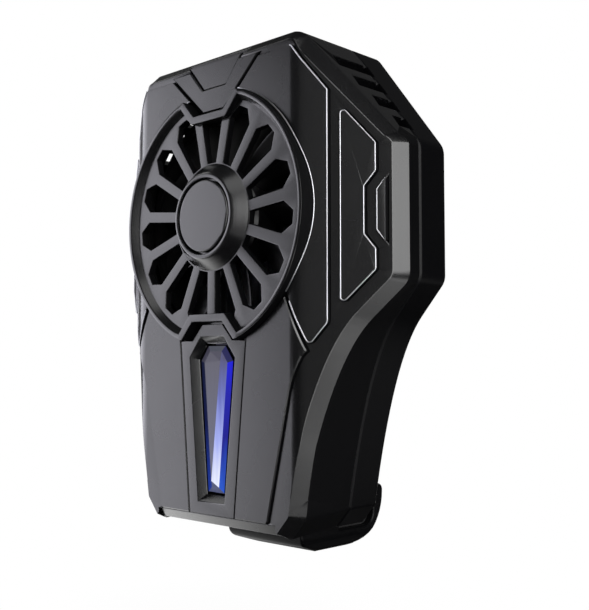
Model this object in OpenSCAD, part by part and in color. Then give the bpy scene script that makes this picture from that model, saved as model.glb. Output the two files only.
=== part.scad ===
// Clip-on cooling fan for a phone.
// The origin is the centre of the cold plate's outer face, on the fan axis.
// +Y points out of the cold plate towards the phone, +Z is up, so the fan grille looks along -Y.
// Inside the modules, depth along Y is counted from the plane of the front panels.

/* [Body outline] */
// Overall width across the wings
body_w = 60.3; // [58:0.1:64]
// Depth from the front panels to the rear face
body_d = 20; // [19.6:0.1:22]
// Height of the top edge above the fan axis
top_rise = 26.3; // [25.8:0.1:28]
// Width of the top edge
top_w = 34.6; // [33.8:0.1:36]
// Height of the upper wing corners above the fan axis
wing_rise = 9.4; // [8.2:0.1:11]
// Drop of the lower wing corners below the fan axis
wing_drop = 10.7; // [9:0.1:12]
// Width at the hips, where the waist curve starts
hip_w = 51.8; // [50:0.1:54]
// Drop of the hips below the fan axis
hip_drop = 15.7; // [15:0.1:17]
// Width that the waist curve is pulled to
waist_w = 40.6; // [39:0.1:43]
// Drop of the point that pulls the waist curve
waist_drop = 22.1; // [20:0.1:24]
// Width at the ankles, where the waist curve ends
ankle_w = 33; // [32:0.1:36]
// Height of the ankles above the foot
ankle_rise = 3; // [2.5:0.1:3.6]
// Width of the foot edge
foot_w = 27.8; // [26.8:0.1:29]
// Drop of the foot edge below the fan axis
foot_drop = 48; // [46.5:0.1:50]
// Corner radius at the ends of the top edge
top_r = 2.8; // [1.6:0.1:3.4]
// Corner radius at the upper wing corners
wing_top_r = 3; // [2.2:0.1:4]
// Corner radius at the lower wing corners
wing_low_r = 2.6; // [2.2:0.1:4]
// Corner radius at the ends of the foot edge
foot_r = 0.8; // [0.4:0.1:1]
// Corner radius at the ankles
ankle_r = 1.2; // [0.6:0.1:1.6]

/* [Housing] */
// Wall thickness of both housings
wall = 2; // [1.8:0.1:2.2]
// Depth of the parting line between the housings
parting_d = 13.5; // [13.3:0.1:13.8]
// Edge break on both sides of the parting line
parting_break = 0.3; // [0.1:0.05:0.4]
// Chamfer around the rear face
rear_chamfer = 0.35; // [0.2:0.05:0.8]
// Width of the flat front between the two folds
fold_w = 36.2; // [35:0.1:38]
// Angle between the front and the side faces
fold_angle = 31; // [28:0.5:33]
// Rounding of the folds
fold_r = 5; // [3.5:0.1:7]

/* [Edge strip] */
// How far the strip's outer edge stands out at the wings and the waist
strip_flare = 0.85; // [0.4:0.05:1]
// Width of the strip on the wings and the waist, seen from the front
strip_inset = 1.3; // [1:0.05:1.5]
// Depth of the strip on the wings and the waist
strip_depth = 2.4; // [2:0.1:3]
// Inset of the strip on the brows, the slanted edges above the wings
brow_inset = 1.17; // [0.6:0.05:1.3]
// Depth of the strip on the brows
brow_depth = 2.1; // [1.6:0.1:3]
// Inset of the strip on the top edge
top_inset_w = 1.5; // [1.2:0.05:1.7]
// Depth of the strip on the top edge
top_depth = 1.4; // [1.2:0.1:2]
// Chamfer of the foot edge
foot_chamfer = 1.7; // [1.3:0.1:1.7]

/* [Vents] */
// Vent slits on each brow
vent_count = 4; // [3:1:4]
// Distance of the first slit from the top edge's corner, along the brow
vent_first = 5.5; // [5:0.1:5.8]
// Spacing of the slits along the brow
vent_pitch = 3.96; // [3.6:0.05:4.1]
// Width of a slit
vent_w = 2.3; // [1.6:0.1:2.5]
// Depth at which the first slit starts
vent_start = 5.9; // [5.5:0.1:7]
// How much deeper each next slit starts
vent_step = 1.63; // [1.4:0.05:1.8]
// Length of the slits behind the parting line
vent_past_parting = 0.7; // [0.4:0.1:1.2]

/* [Panels] */
// Thickness of the trim panels
panel_t = 1; // [0.9:0.05:1.2]
// How far the panels stand proud of the housing
panel_proud = 0.45; // [0.3:0.05:0.6]
// Gap between a panel and the edge of its pocket
seat_gap = 0.12; // [0.08:0.02:0.2]
// Width of the open seam between neighbouring panels
seam_w = 0.7; // [0.5:0.05:0.9]
// Distance of the upper panels' outer edges from the wing edges
upper_panel_gap = 8.2; // [7.8:0.1:8.8]
// Margin between the upper panels and the brow edge
upper_panel_margin = 2.25; // [1.8:0.05:2.6]
// Margin between the panels and the top edge
top_margin = 2.7; // [2.4:0.1:3]
// Drop of the upper panels' lowest corner
upper_panel_drop = 20.3; // [19.8:0.1:21]
// Length of the slanted lower edge of the upper panels
upper_panel_toe = 3.95; // [3.5:0.05:4.5]
// Lean of the seam between upper and lower panels, from vertical
seam_lean = 25; // [22:0.5:28]
// Radius of the upper panels' outer lower corners
panel_toe_r = 1.2; // [0.6:0.1:1.6]
// Radius of the other panel corners
panel_corner_r = 0.4; // [0.2:0.05:0.6]
// Radius of the lower panels' knees
lower_knee_r = 18; // [12:1:18]
// Width of the collar at the top edge
collar_w = 20.2; // [19:0.1:21]
// Width of the collar's lower edge
collar_tip_w = 4.8; // [4:0.1:5.4]
// Width of the top inset at its upper edge
top_plate_w = 12.4; // [11.5:0.1:13]
// Width of the top inset at its lower edge
top_plate_tip_w = 5.2; // [4.6:0.1:5.6]
// Height of the top inset
top_plate_h = 4.9; // [4.5:0.1:5.2]
// How far the top inset lies below the collar
top_plate_set = 0.35; // [0.2:0.05:0.5]
// Width of the lower panels across their shoulders
lower_panel_w = 37.3; // [36.6:0.1:38]
// Width of the lower panels across their knees
lower_knee_w = 33.6; // [33:0.1:34.4]
// Width of the lower panels at the foot
lower_foot_w = 24.3; // [23:0.1:26]
// Drop of the knees below the shoulders
lower_knee_drop = 3.8; // [3.4:0.1:4.2]
// Height of the bare foot edge below the lower panels
foot_margin = 1.8; // [1.75:0.05:2.1]

/* [Side plates] */
// Gap between the upper panel and the side plate
side_gap = 1.65; // [1.4:0.05:1.9]
// Margin between the side plate and the body's edges
side_margin = 2.4; // [2.2:0.05:2.7]
// Depth of the notch in the side plate
side_notch = 1.43; // [1.2:0.05:1.6]
// Height of the notch's floor
side_notch_h = 6.85; // [6:0.1:7.5]
// Distance of the notch's middle below the fan axis
side_notch_drop = 1.2; // [0.8:0.1:1.6]
// Gap between the side plate's notch and the insert
insert_gap = 1.6; // [1.4:0.05:1.7]
// Width of the insert
insert_w = 1.03; // [0.9:0.01:1.1]
// Height of the insert's inner edge
insert_h = 5.7; // [5:0.1:6.2]

/* [Fan ring] */
// Outer radius of the fan ring
ring_r = 20.2; // [19.8:0.1:20.6]
// Gap between the ring and the panels around it
ring_gap = 0.14; // [0.1:0.02:0.3]
// Width of the rim
rim_w = 0.7; // [0.5:0.05:0.9]
// Width of the rim's sloping inner wall
rim_slope = 0.85; // [0.6:0.05:1]
// How far the rim stands in front of the panels
rim_proud = 1.18; // [0.9:0.02:1.5]
// Depth of the grille's face behind the rim's front
grille_set = 0.95; // [0.8:0.05:1.2]
// Thickness of the grille
grille_t = 1.2; // [1:0.05:1.4]
// Depth of the ledge that the ring sits on
ring_seat = 1.9; // [1.8:0.05:2]
// Depth of the notches into the ring
notch_depth = 3.8; // [3.4:0.1:4]
// Width of the notches' floor
notch_w = 7; // [6.6:0.1:7.6]
// Lean of the notches' sides, from vertical
notch_lean = 41.8; // [39:0.2:44]
// Wall around the notches
notch_wall = 1.2; // [0.9:0.05:1.4]
// Openings in the grille, an odd number
opening_count = 15; // [13:2:15]
// Radius where the openings start
opening_in_r = 8.6; // [8.5:0.1:9.2]
// Radius of the openings' shoulders
opening_mid_r = 15.6; // [14.8:0.1:15.8]
// Radius of the openings' tips
opening_out_r = 17.7; // [16.8:0.1:17.8]
// Width of the openings at their start
opening_in_w = 1.9; // [1.6:0.1:2]
// Width of the openings at their shoulders
opening_mid_w = 4.75; // [4.4:0.05:4.9]
// Width of the openings at their tips
opening_out_w = 2; // [1.6:0.1:2.6]
// Radius of the hub cone at the grille's face
hub_base_r = 8.4; // [7.9:0.1:8.5]
// Radius of the hub cone at its front
hub_front_r = 6.9; // [6.7:0.1:7.2]
// How far the hub stands in front of the panels
hub_proud = 2.1; // [1.8:0.1:2.4]
// Radius of the hub cap
cap_r = 5.75; // [5.5:0.05:5.9]
// Gap around the hub cap
cap_gap = 0.24; // [0.15:0.01:0.3]
// Thickness of the hub cap
cap_t = 1; // [0.8:0.05:1.3]

/* [Light strip] */
// Width of the light bezel at its top
bezel_w = 14.8; // [14.2:0.1:15.2]
// Width of the light bezel at the foot
bezel_foot_w = 9.9; // [9.4:0.1:10.4]
// Width of the bezel's tongue in the ring's notch
bezel_tongue_w = 4.6; // [4.2:0.1:5]
// Width of the lens at its top
lens_top_w = 4.2; // [3.8:0.1:4.6]
// Width of the lens across its shoulders
lens_w = 8; // [7.6:0.1:8.4]
// Width of the lens at its lower end
lens_foot_w = 3.9; // [3.6:0.1:4.2]
// Height of the lens's slanted top corners
lens_shoulder_h = 2.4; // [2.2:0.1:2.8]
// Distance from the bezel's foot up to the lens
lens_foot_margin = 3.15; // [2.8:0.1:3.6]
// Depth of the lens's edge behind the panels
lens_set = 1.1; // [0.9:0.05:1.2]
// Width of the sloping wall around the lens
lens_recess = 1.2; // [1:0.05:1.3]
// Width of the lens's sloping facets
facet_w = 0.85; // [0.7:0.05:1]
// Height of the lens's facets
facet_h = 0.45; // [0.3:0.05:0.6]
// Thickness of the lens behind its edge
lens_t = 1.8; // [1.6:0.1:2.2]
// Thickness of the lens's flange
lens_flange_t = 0.5; // [0.4:0.05:0.7]
// Width of the lens's flange
lens_flange_w = 0.6; // [0.5:0.05:0.8]
// Gap between the fan duct and the flange with the light board below it
led_gap = 0.5; // [0.4:0.05:0.8]

/* [Fan motor] */
// Blades of the impeller
blade_count = 9; // [7:1:11]
// Radius of the blade tips
blade_tip_r = 17; // [16:0.1:17.2]
// Thickness of a blade
blade_t = 0.7; // [0.6:0.05:0.9]
// Turning of a blade from its front to its rear edge, at the root
blade_root_turn = 26; // [22:1:30]
// Turning of a blade from its front to its rear edge, at the tip
blade_tip_turn = 30; // [24:1:34]
// Sweep of the blade tips ahead of the roots
blade_sweep = 16; // [8:1:20]
// Radius of the impeller's hub
rotor_r = 7; // [6.8:0.1:7.4]
// Wall of the impeller's hub
rotor_wall = 0.8; // [0.7:0.05:0.9]
// Gap between the grille and the impeller
rotor_gap = 0.8; // [0.6:0.05:1]
// Length of the impeller's hub
rotor_len = 4.7; // [4.5:0.1:4.9]
// Thickness of the magnet ring
magnet_t = 0.6; // [0.5:0.05:0.7]
// Gap between magnet and stator
air_gap = 0.4; // [0.32:0.02:0.5]
// Radius of the shaft
shaft_r = 0.75; // [0.7:0.05:0.9]
// Running clearance between shaft and bearing
shaft_play = 0.03; // [0.02:0.01:0.06]
// Wall of the bearing sleeve
sleeve_wall = 0.75; // [0.6:0.05:0.8]
// Wall of the tube that holds the bearing
tube_wall = 0.65; // [0.5:0.05:0.7]
// Poles of the stator
pole_count = 4; // [4:2:6]
// Thickness of the fan frame's base and arms
frame_t = 0.9; // [0.8:0.05:1.1]
// Gap between the impeller and the frame's base
frame_gap = 0.7; // [0.5:0.05:0.9]
// Gap between the blade tips and the duct
duct_gap = 0.6; // [0.4:0.05:0.7]
// Wall of the duct
duct_wall = 1.2; // [1:0.05:1.3]
// Arms of the fan frame
arm_count = 4; // [3:1:5]
// Width of the fan frame's arms
frame_arm_w = 2; // [1.6:0.1:2.4]
// Angle of the fan frame's lugs from the horizontal
lug_angle = 35; // [32:1:38]
// Radius of the fan frame's lugs
lug_r = 2; // [1.8:0.1:2.2]
// Radius of the fan screws' shanks
fan_screw_r = 0.7; // [0.6:0.05:0.8]

/* [Cooling stack] */
// Width of the cold plate's face
plate_w = 38; // [36:0.1:39]
// Height of the cold plate's face
plate_h = 29; // [27:0.1:29.6]
// How far the cold plate stands out of the rear face
plate_proud = 0.6; // [0.4:0.05:0.8]
// Corner radius of the cold plate
plate_r = 3; // [2:0.1:4]
// Width of the cold plate's flange inside the housing
flange_w = 1.5; // [1.2:0.1:1.7]
// Thickness of the cold plate's flange
flange_t = 1; // [0.8:0.05:1.2]
// Gap around the cold plate in the rear face
plate_gap = 0.15; // [0.1:0.01:0.25]
// Side length of the thermoelectric module
module_w = 25; // [23:0.1:26]
// Thickness of the thermoelectric module
module_t = 2.6; // [2.4:0.05:2.8]
// Thickness of the module's ceramic faces
ceramic_t = 0.6; // [0.5:0.05:0.7]
// Gap between the module and the foam seal around it
foam_gap = 0.3; // [0.2:0.02:0.4]
// Thickness of the heat sink's base
sink_base_t = 1.4; // [1.2:0.05:1.5]
// Thickness of a fin
fin_t = 0.6; // [0.5:0.05:0.7]
// Spacing of the fins
fin_pitch = 2.05; // [1.9:0.05:2.4]
// Gap between the fan frame and the fins
fin_gap = 0.4; // [0.3:0.05:0.6]
// Radius of the posts that carry the fan frame
post_r = 1.9; // [1.7:0.1:2.1]

/* [Clamp] */
// Width of the jaws
jaw_w = 17; // [16:0.1:17.6]
// Room for the phone's thickness between housing and lips
phone_t = 9.1; // [8.8:0.1:11]
// Thickness of the lips
lip_t = 2.6; // [2.2:0.1:3]
// Height of the lower jaw below the foot
jaw_h = 4.85; // [4.7:0.05:5.1]
// Gap between the foot and the lower jaw
jaw_gap = 0.4; // [0.35:0.05:0.6]
// Drop of the lower jaw's floor below its top
jaw_floor = 1.5; // [1.2:0.1:1.7]
// How far the lower lip stands above the floor
lip_h = 6.6; // [6:0.1:7.4]
// Depth of the lower jaw in front of the rear face
jaw_front = 8.7; // [8.2:0.1:9.2]
// Radius of the lower jaw's rear corner
jaw_r = 8.7; // [7:0.1:8.8]
// Radius of the lower jaw's corners, seen from the front
jaw_end_r = 3; // [2:0.1:3.4]
// Width of the sliding arm
arm_w = 14; // [13:0.1:14.4]
// Thickness of the sliding arm
arm_t = 3.3; // [3.2:0.05:3.4]
// Height of the sliding arm above the foot
arm_rise = 26.5; // [25.5:0.1:27]
// Skin behind the spring channels
arm_skin = 0.8; // [0.6:0.05:0.9]
// Sliding gap around the arm
slide_gap = 0.3; // [0.3:0.02:0.4]
// Height of the upper hook's floor above the fan axis
hook_rise = 18.6; // [18.2:0.1:19]
// Thickness of the upper hook
hook_t = 3.4; // [3:0.1:3.6]
// Thickness of the hook's screw flange
hook_flange_t = 1.4; // [1.2:0.05:1.6]
// Thickness of the soft pads
pad_t = 0.7; // [0.6:0.05:0.9]
// Width of the soft pads
pad_w = 14.4; // [13:0.1:15]
// Thickness of the slider guide
guide_t = 1.1; // [0.9:0.05:1.2]
// Distance of the springs from the middle
spring_x = 3.6; // [3.5:0.05:3.8]
// Radius of the spring coils, to the middle of the wire
spring_r = 0.9; // [0.8:0.02:0.95]
// Thickness of the spring wire
spring_wire = 0.4; // [0.35:0.01:0.44]
// Turns of each spring
spring_turns = 14; // [10:1:16]

/* [Electronics and screws] */
// Width of the control board
board_w = 20; // [18:0.1:20.4]
// Thickness of the boards
board_t = 1; // [0.8:0.05:1.2]
// Gap between the slider guide and the control board
board_gap = 3.6; // [3.2:0.1:3.8]
// Width of the power socket's shell
socket_w = 8.94; // [8.94]
// Height of the power socket's shell
socket_h = 3.26; // [3.26]
// Length of the power socket's shell
socket_len = 7.3; // [7:0.1:7.6]
// Sheet thickness of the power socket's shell
socket_sheet = 0.3; // [0.25:0.01:0.35]
// Gap around the power socket in the foot
socket_gap = 0.15; // [0.1:0.01:0.25]
// Radius of the housing screws' shanks
screw_r = 1; // [0.9:0.05:1.1]
// Radius of the housing screws' heads
screw_head_r = 1.9; // [1.7:0.05:2]
// Radius of the screw bosses
boss_r = 2.3; // [2.15:0.05:2.4]

/* [Hidden] */
$fn = 64;
curve_steps = 16;
far = 60;
cut = 1;

// Depth of the cold plate's face, which is the origin
front_y = -(body_d + plate_proud);

// How far the edge strip's slope is carried in front of the folded face
strip_lead = 0.4;

// Heights and half widths of the outline
foot_z = -foot_drop;
ankle_z = foot_z + ankle_rise;
wing_x = body_w / 2;
brow_top = [top_w / 2, top_rise];
brow_low = [wing_x, wing_rise];
hip_top = [wing_x, -wing_drop];
hip_low = [hip_w / 2, -hip_drop];
ankle = [ankle_w / 2, ankle_z];

// Levels below the panels' outer face
base_level = panel_proud;
inner_level = base_level + wall;

// Depths of the cooling stack, from the rear face forwards
wall_inner = body_d - wall;
flange_front = wall_inner - flange_t;
sink_back = flange_front - module_t;
sink_base = sink_back - sink_base_t;
stack_w = plate_w + 2 * flange_w;
stack_h = plate_h + 2 * flange_w;

// Depths of the fan, from the grille backwards
rotor_front = ring_seat + rotor_gap;
rotor_back = rotor_front + rotor_len;
frame_front = rotor_back + frame_gap;
frame_back = frame_front + frame_t;
duct_r = blade_tip_r + duct_gap;
duct_out_r = duct_r + duct_wall;
duct_front = rotor_front + 0.5;
lug_reach = duct_out_r + lug_r;
sleeve_r = shaft_r + shaft_play + sleeve_wall;
tube_r = sleeve_r + tube_wall;
cup_r = rotor_r - rotor_wall;
magnet_r = cup_r - magnet_t;
stator_r = magnet_r - air_gap;
stator_front = rotor_front + rotor_len * 0.49;
stator_back = rotor_back - rotor_len * 0.04;

// Depths of the clamp's slide, from the rear wall forwards
arm_back = wall_inner - slide_gap;
arm_front = arm_back - arm_t;
guide_back = arm_front - slide_gap;
guide_front = guide_back - guide_t;
board_back = guide_front - board_gap;
board_front = board_back - board_t;
arm_top = foot_z + arm_rise;
stop_lug = 1.4;
press_gap = 0.02;
guide_x = arm_w / 2 + stop_lug + 0.9;
guide_wall = 1.2;
guide_top = arm_top + 2.5;
guide_low = foot_z + wall + 0.2;
spring_y = (arm_front + arm_back - arm_skin) / 2;
spring_post_r = 0.6;
spring_post_z = arm_top + 1.4;
spring_pin_r = 0.45;
spring_pin_z = foot_z + 3.3;
spring_top = spring_post_z - spring_post_r - spring_wire / 2 - 0.1;
spring_low = spring_pin_z + spring_pin_r + spring_wire / 2 + 0.1;

// Lower jaw and upper hook
jaw_top = foot_z - jaw_gap;
jaw_low = foot_z - jaw_gap - jaw_h;
floor_z = jaw_top - jaw_floor;
lip_in = body_d + phone_t;
lip_out = lip_in + lip_t;
lip_round = 1.1;
floor_r = 2;
pad_start = body_d + 1.2;
hook_top = hook_rise + hook_t;
hook_flange_z = hook_top + 3.4;
hook_screw_x = jaw_w / 2 - 3;
hook_screw_z = hook_top + 1.7;
hook_screw_r = 0.8;
hook_screw_head_r = 1.4;

// Light strip heights
bezel_top = -(ring_r - 0.8);
bezel_foot = foot_z + foot_margin;
lens_top = bezel_top - 0.5;
lens_shoulder = lens_top - lens_shoulder_h;
lens_foot = bezel_foot + lens_foot_margin;
lens_back = lens_set + lens_t;
led_t = 0.6;
led_front = lens_back + lens_flange_t;
led_back = led_front + led_t;

// Depths of the grille, from the panels
grille_front = grille_set - rim_proud;
grille_back = grille_front + grille_t;

// Ring notch
notch_floor = ring_r - notch_depth;
notch_mouth = ring_r + 2;

// Places of the housing screws: x, z, on both sides
screw_places = [
    [top_w / 2 - 4.4, top_rise - wall - boss_r + 0.1],
    [wing_x - 4.65, -2],
    [guide_x + guide_wall + boss_r + 0.5, foot_z + 9.5]];
screw_bite = 5;
head_seat = body_d - 1.1;

// Plane geometry
function xy(p) = [p[0], p[1]];
function unit(v) = v / norm(v);
function left_of(v) = [-v[1], v[0]];
function at(p, i) = p[(i + len(p)) % len(p)];
function edge(p, i) = unit(xy(at(p, i + 1)) - xy(at(p, i)));
function turn(p, i) = sign(edge(p, i - 1) * -left_of(edge(p, i)));
function mirrored(p) = [for (i = [len(p) - 1:-1:0])
    [for (k = [0:len(p[i]) - 1]) k == 0 ? -p[i][0] : p[i][k]]];
function both_sides(p) = concat(p, mirrored(p));

// Closed counter-clockwise path of [x, z, radius] corners, moved inwards by d
function inset(p, d) = [for (i = [0:len(p) - 1])
    let (m = left_of(edge(p, i - 1)) + left_of(edge(p, i)), q = xy(p[i]) + 2 * d * m / (m * m), r = p[i][2])
    [q[0], q[1], r > 0 ? max(r - d * turn(p, i), 0.05) : 0]];

// Points of the arc that rounds corner b between a and c
function arc_corner(a, b, c, r, steps) =
    let (u = unit(a - b), v = unit(c - b), half = acos(u * v) / 2, mid = b + unit(u + v) * r / sin(half),
        from = b + u * r / tan(half) - mid, to = b + v * r / tan(half) - mid, start = atan2(from[1], from[0]),
        sweep = (atan2(to[1], to[0]) - start + 540) % 360 - 180)
    [for (k = [0:steps]) let (w = start + sweep * k / steps) mid + r * [cos(w), sin(w)]];

// Path of [x, z, radius] corners with its corners rounded
function rounded(p, steps = 12) = [for (i = [0:len(p) - 1])
    each (p[i][2] > 0 ? arc_corner(xy(at(p, i - 1)), xy(p[i]), xy(at(p, i + 1)), p[i][2], steps)
        : [xy(p[i])])];

// Path of points, made corners of one radius
function soft(p, r) = [for (q = p) [q[0], q[1], r]];
function sharp(p) = soft(p, 0);

// Point on the curve from a to c that b pulls
function pulled(a, b, c, t) = (1 - t) * (1 - t) * a + 2 * t * (1 - t) * b + t * t * c;

// Height on the line through a and b, moved down by a margin square to it, at x
function line_z(a, b, margin, x) =
    let (slope = (b[1] - a[1]) / (b[0] - a[0])) a[1] + slope * (x - a[0]) - margin * sqrt(1 + slope * slope);
function brow_z(x, margin) = line_z(brow_top, brow_low, margin, x);
function hip_z(x, margin) = line_z(hip_top, hip_low, -margin, x);

// Body outline as corners, counter-clockwise from the foot's right end
waist = [for (k = [0:curve_steps])
    let (q = pulled(ankle, [waist_w / 2, -waist_drop], hip_low, k / curve_steps))
    [q[0], q[1], k == 0 ? ankle_r : 0]];
right_side = concat([[foot_w / 2, foot_z, foot_r]], waist, [
    [hip_top[0], hip_top[1], wing_low_r],
    [brow_low[0], brow_low[1], wing_top_r],
    [brow_top[0], brow_top[1], top_r]]);
body_corners = both_sides(right_side);
function body_outline(d) = rounded(inset(body_corners, d));

// Folded front face seen from above, as corners
fold_slope = tan(fold_angle);
face_x = wing_x + 8;
face_end = (face_x - fold_w / 2) * fold_slope;
face_corners = [[-face_x, face_end, 0], [-fold_w / 2, 0, fold_r], [fold_w / 2, 0, fold_r],
    [face_x, face_end, 0], [face_x, far, 0], [-face_x, far, 0]];
function face_depth(x, level) = max(level, fold_slope * (abs(x) - fold_w / 2) + level / cos(fold_angle));

// Solid helpers: a plane shape extruded from depth y0 to y1, a disc, a turned shape, a shape along X
module prism(y0, y1) translate([0, y1, 0]) rotate([90, 0, 0]) linear_extrude(y1 - y0) children();
module disc(r, y0, y1, x = 0, z = 0) translate([x, 0, z]) prism(y0, y1) circle(r);
module turned() rotate([-90, 0, 0]) rotate_extrude() children();
module along_x(half) rotate([90, 0, 90]) translate([0, 0, -half]) linear_extrude(2 * half) children();
module box(low, high) translate(low) cube(high - low);
module placed() translate([0, front_y, 0]) children();
module on_both_sides() {
    children();
    mirror([1, 0, 0]) children();
}

// Solid through closed rings of points, each ring counter-clockwise seen from the front, with an even
// count of points and ends closed by bands from side to side
module loft(rings) {
    n = len(rings[0]);
    last = len(rings) - 1;
    sides = [for (k = [0:last - 1], i = [0:n - 1]) let (a = k * n + i, b = k * n + (i + 1) % n)
        each [[a, b, b + n], [a, b + n, a + n]]];
    cap = [for (i = [0:n / 2 - 2]) each [[i, i + 1, n - 2 - i], [i, n - 2 - i, n - 1 - i]]];
    front = [for (f = cap) [f[2], f[1], f[0]]];
    back = [for (f = cap) [for (i = f) last * n + i]];
    polyhedron([for (ring = rings) each ring], concat(sides, front, back));
}
function ring_at(path, y) = [for (q = path) [q[0], y, q[1]]];

// Everything behind the folded face at a level below the panels
module behind_face(level) translate([0, 0, foot_z - cut])
    linear_extrude(top_rise - foot_z + 2 * cut) polygon(rounded(inset(face_corners, level)));

// Housing's outside with its drafted edge strip, before the folded face is cut
module strip_block() {
    path = body_outline(0);
    all = [0:len(path) - 1];
    insets = [[-90, foot_chamfer], [-45, strip_inset], [0, strip_inset], [37, brow_inset], [90, top_inset_w]];
    depths = [[-90, foot_chamfer], [-45, strip_depth], [0, strip_depth], [37, brow_depth], [90, top_depth]];
    flares = [[-90, 0], [-45, strip_flare], [0, strip_flare], [37, 0], [90, 0]];
    normals = [for (i = all) -unit(left_of(edge(path, i - 1)) + left_of(edge(path, i)))];
    leans = [for (n = normals) atan2(n[1], abs(n[0]))];
    slopes = [for (a = leans) lookup(a, insets) / lookup(a, depths)];
    flared = [for (i = all) path[i] + normals[i] * lookup(leans[i], flares)];
    inner = [for (i = all) flared[i] - normals[i] * lookup(leans[i], insets)];
    faces = [for (q = inner) face_depth(q[0], base_level)];
    rim = [for (i = all) inner[i] - normals[i] * slopes[i] * strip_lead];
    starts = [for (y = faces) y - strip_lead];
    ends = [for (i = all) faces[i] + lookup(leans[i], depths)];
    loft([ring_at(rim, min(starts) - cut), [for (i = all) [rim[i][0], starts[i], rim[i][1]]],
        [for (i = all) [flared[i][0], ends[i], flared[i][1]]],
        ring_at(path, parting_d - parting_break), ring_at(body_outline(parting_break), parting_d)]);
}

// Plate of panel thickness that follows the folded face inside a front-view outline of corners
panel_steps = 5;
module face_plate(corners) intersection() {
    prism(-cut, far / 3) polygon(rounded(corners, panel_steps));
    difference() {
        behind_face(0);
        behind_face(panel_t);
    }
}

// Pocket in the housing for such a plate
module face_pocket(corners) difference() {
    prism(-cut, far / 3) polygon(rounded(inset(corners, -seat_gap), panel_steps));
    behind_face(panel_t);
}

// Front-view outlines of the panels on the right, as corners
panel_top = top_rise - top_margin;
panel_x = wing_x - upper_panel_gap;
toe_x = panel_x - upper_panel_toe * sin(35);
seam_dir = [-sin(seam_lean), cos(seam_lean)];
seam_foot = [toe_x, -upper_panel_drop];
seam_head = seam_foot + 11 * seam_dir;
collar_dir = unit([collar_w - collar_tip_w, 2 * (panel_top + 0.6 - notch_floor - 0.6)]);
collar_side = left_of(collar_dir) * -seam_w / 1.6;
collar_tip = [collar_tip_w / 2, notch_floor + 0.6];
collar_head = [collar_w / 2, panel_top + 0.6];
collar_edge = collar_tip + collar_side;
upper_panel_corners = concat(
    sharp([collar_edge + 2 * collar_dir, seam_head]),
    soft([seam_foot], panel_corner_r),
    soft([[panel_x, -upper_panel_drop + upper_panel_toe * cos(35)]], panel_toe_r),
    soft([[panel_x, brow_z(panel_x, upper_panel_margin)], [brow_top[0] - 0.3, panel_top]], panel_corner_r),
    sharp([[collar_edge[0] + collar_dir[0] * (panel_top - collar_edge[1]) / collar_dir[1], panel_top]]));
lower_seam = seam_w * [-cos(seam_lean), -sin(seam_lean)];
shoulder = [lower_panel_w / 2, -upper_panel_drop - 1.6];
function bezel_x(z) = bezel_w / 2 + (bezel_foot_w - bezel_w) / 2 * (bezel_top - z) / (bezel_top - bezel_foot);
lower_panel_corners = concat(
    sharp([[bezel_x(bezel_foot) + seat_gap * 2, bezel_foot]]),
    soft([[lower_foot_w / 2, bezel_foot]], panel_corner_r),
    soft([[lower_knee_w / 2, shoulder[1] - lower_knee_drop]], lower_knee_r),
    soft([shoulder], panel_corner_r),
    sharp([
        seam_foot + lower_seam - 0.6 * seam_dir,
        seam_head + lower_seam,
        [bezel_x(bezel_top + 2) + seat_gap * 2, bezel_top + 2]]));
collar_corners = sharp([
    [-collar_tip[0], collar_tip[1]],
    collar_tip,
    collar_head,
    [-collar_head[0], collar_head[1]]]);
top_plate_low = top_rise - 0.6 - top_plate_h;
top_plate_corners = sharp([
    [-top_plate_tip_w / 2, top_plate_low],
    [top_plate_tip_w / 2, top_plate_low],
    [top_plate_w / 2, top_plate_low + top_plate_h - 0.6],
    [-top_plate_w / 2, top_plate_low + top_plate_h - 0.6]]);
bezel_corners = sharp([
    [-bezel_x(bezel_foot), bezel_foot],
    [bezel_x(bezel_foot), bezel_foot],
    [bezel_x(bezel_top), bezel_top],
    [bezel_tongue_w, bezel_top + 0.1],
    [bezel_tongue_w / 2, -notch_floor - 0.4],
    [-bezel_tongue_w / 2, -notch_floor - 0.4],
    [-bezel_tongue_w, bezel_top + 0.1],
    [-bezel_x(bezel_top), bezel_top]]);
lens_corners = sharp([
    [-lens_foot_w / 2, lens_foot],
    [lens_foot_w / 2, lens_foot],
    [lens_w / 2, lens_shoulder],
    [lens_top_w / 2, lens_top],
    [-lens_top_w / 2, lens_top],
    [-lens_w / 2, lens_shoulder]]);
side_in = panel_x + side_gap;
side_out = wing_x - side_margin + 0.15;
notch_x = side_out - side_notch;
side_panel_corners = soft([
    [side_in, hip_z(side_in, side_margin)],
    [side_out, hip_z(side_out, side_margin)],
    [side_out, -side_notch_drop - side_notch_h / 2 - side_notch * 1.5],
    [notch_x, -side_notch_drop - side_notch_h / 2],
    [notch_x, -side_notch_drop + side_notch_h / 2],
    [side_out, -side_notch_drop + side_notch_h / 2 + side_notch * 1.5],
    [side_out, brow_z(side_out, side_margin)],
    [side_in, brow_z(side_in, side_margin)]], panel_corner_r);
insert_in = notch_x + insert_gap;
side_insert_corners = sharp([
    [insert_in, -side_notch_drop - insert_h / 2],
    [insert_in + insert_w, -side_notch_drop - insert_h / 2 - insert_w * 1.6],
    [insert_in + insert_w, -side_notch_drop + insert_h / 2 + insert_w * 1.6],
    [insert_in, -side_notch_drop + insert_h / 2]]);

// Vent slits through one brow
brow_dir = unit(brow_low - brow_top);
brow_angle = atan2(-brow_dir[1], brow_dir[0]);
module vent_slits() for (k = [0:vent_count - 1]) {
    q = brow_top + (vent_first + k * vent_pitch) * brow_dir;
    start = vent_start + k * vent_step;
    long = parting_d + vent_past_parting - start;
    translate([q[0], start, q[1]]) rotate([0, brow_angle, 0])
        translate([-vent_w / 2, 0, -wall - cut]) cube([vent_w, long, wall + 2 * cut]);
}

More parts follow.
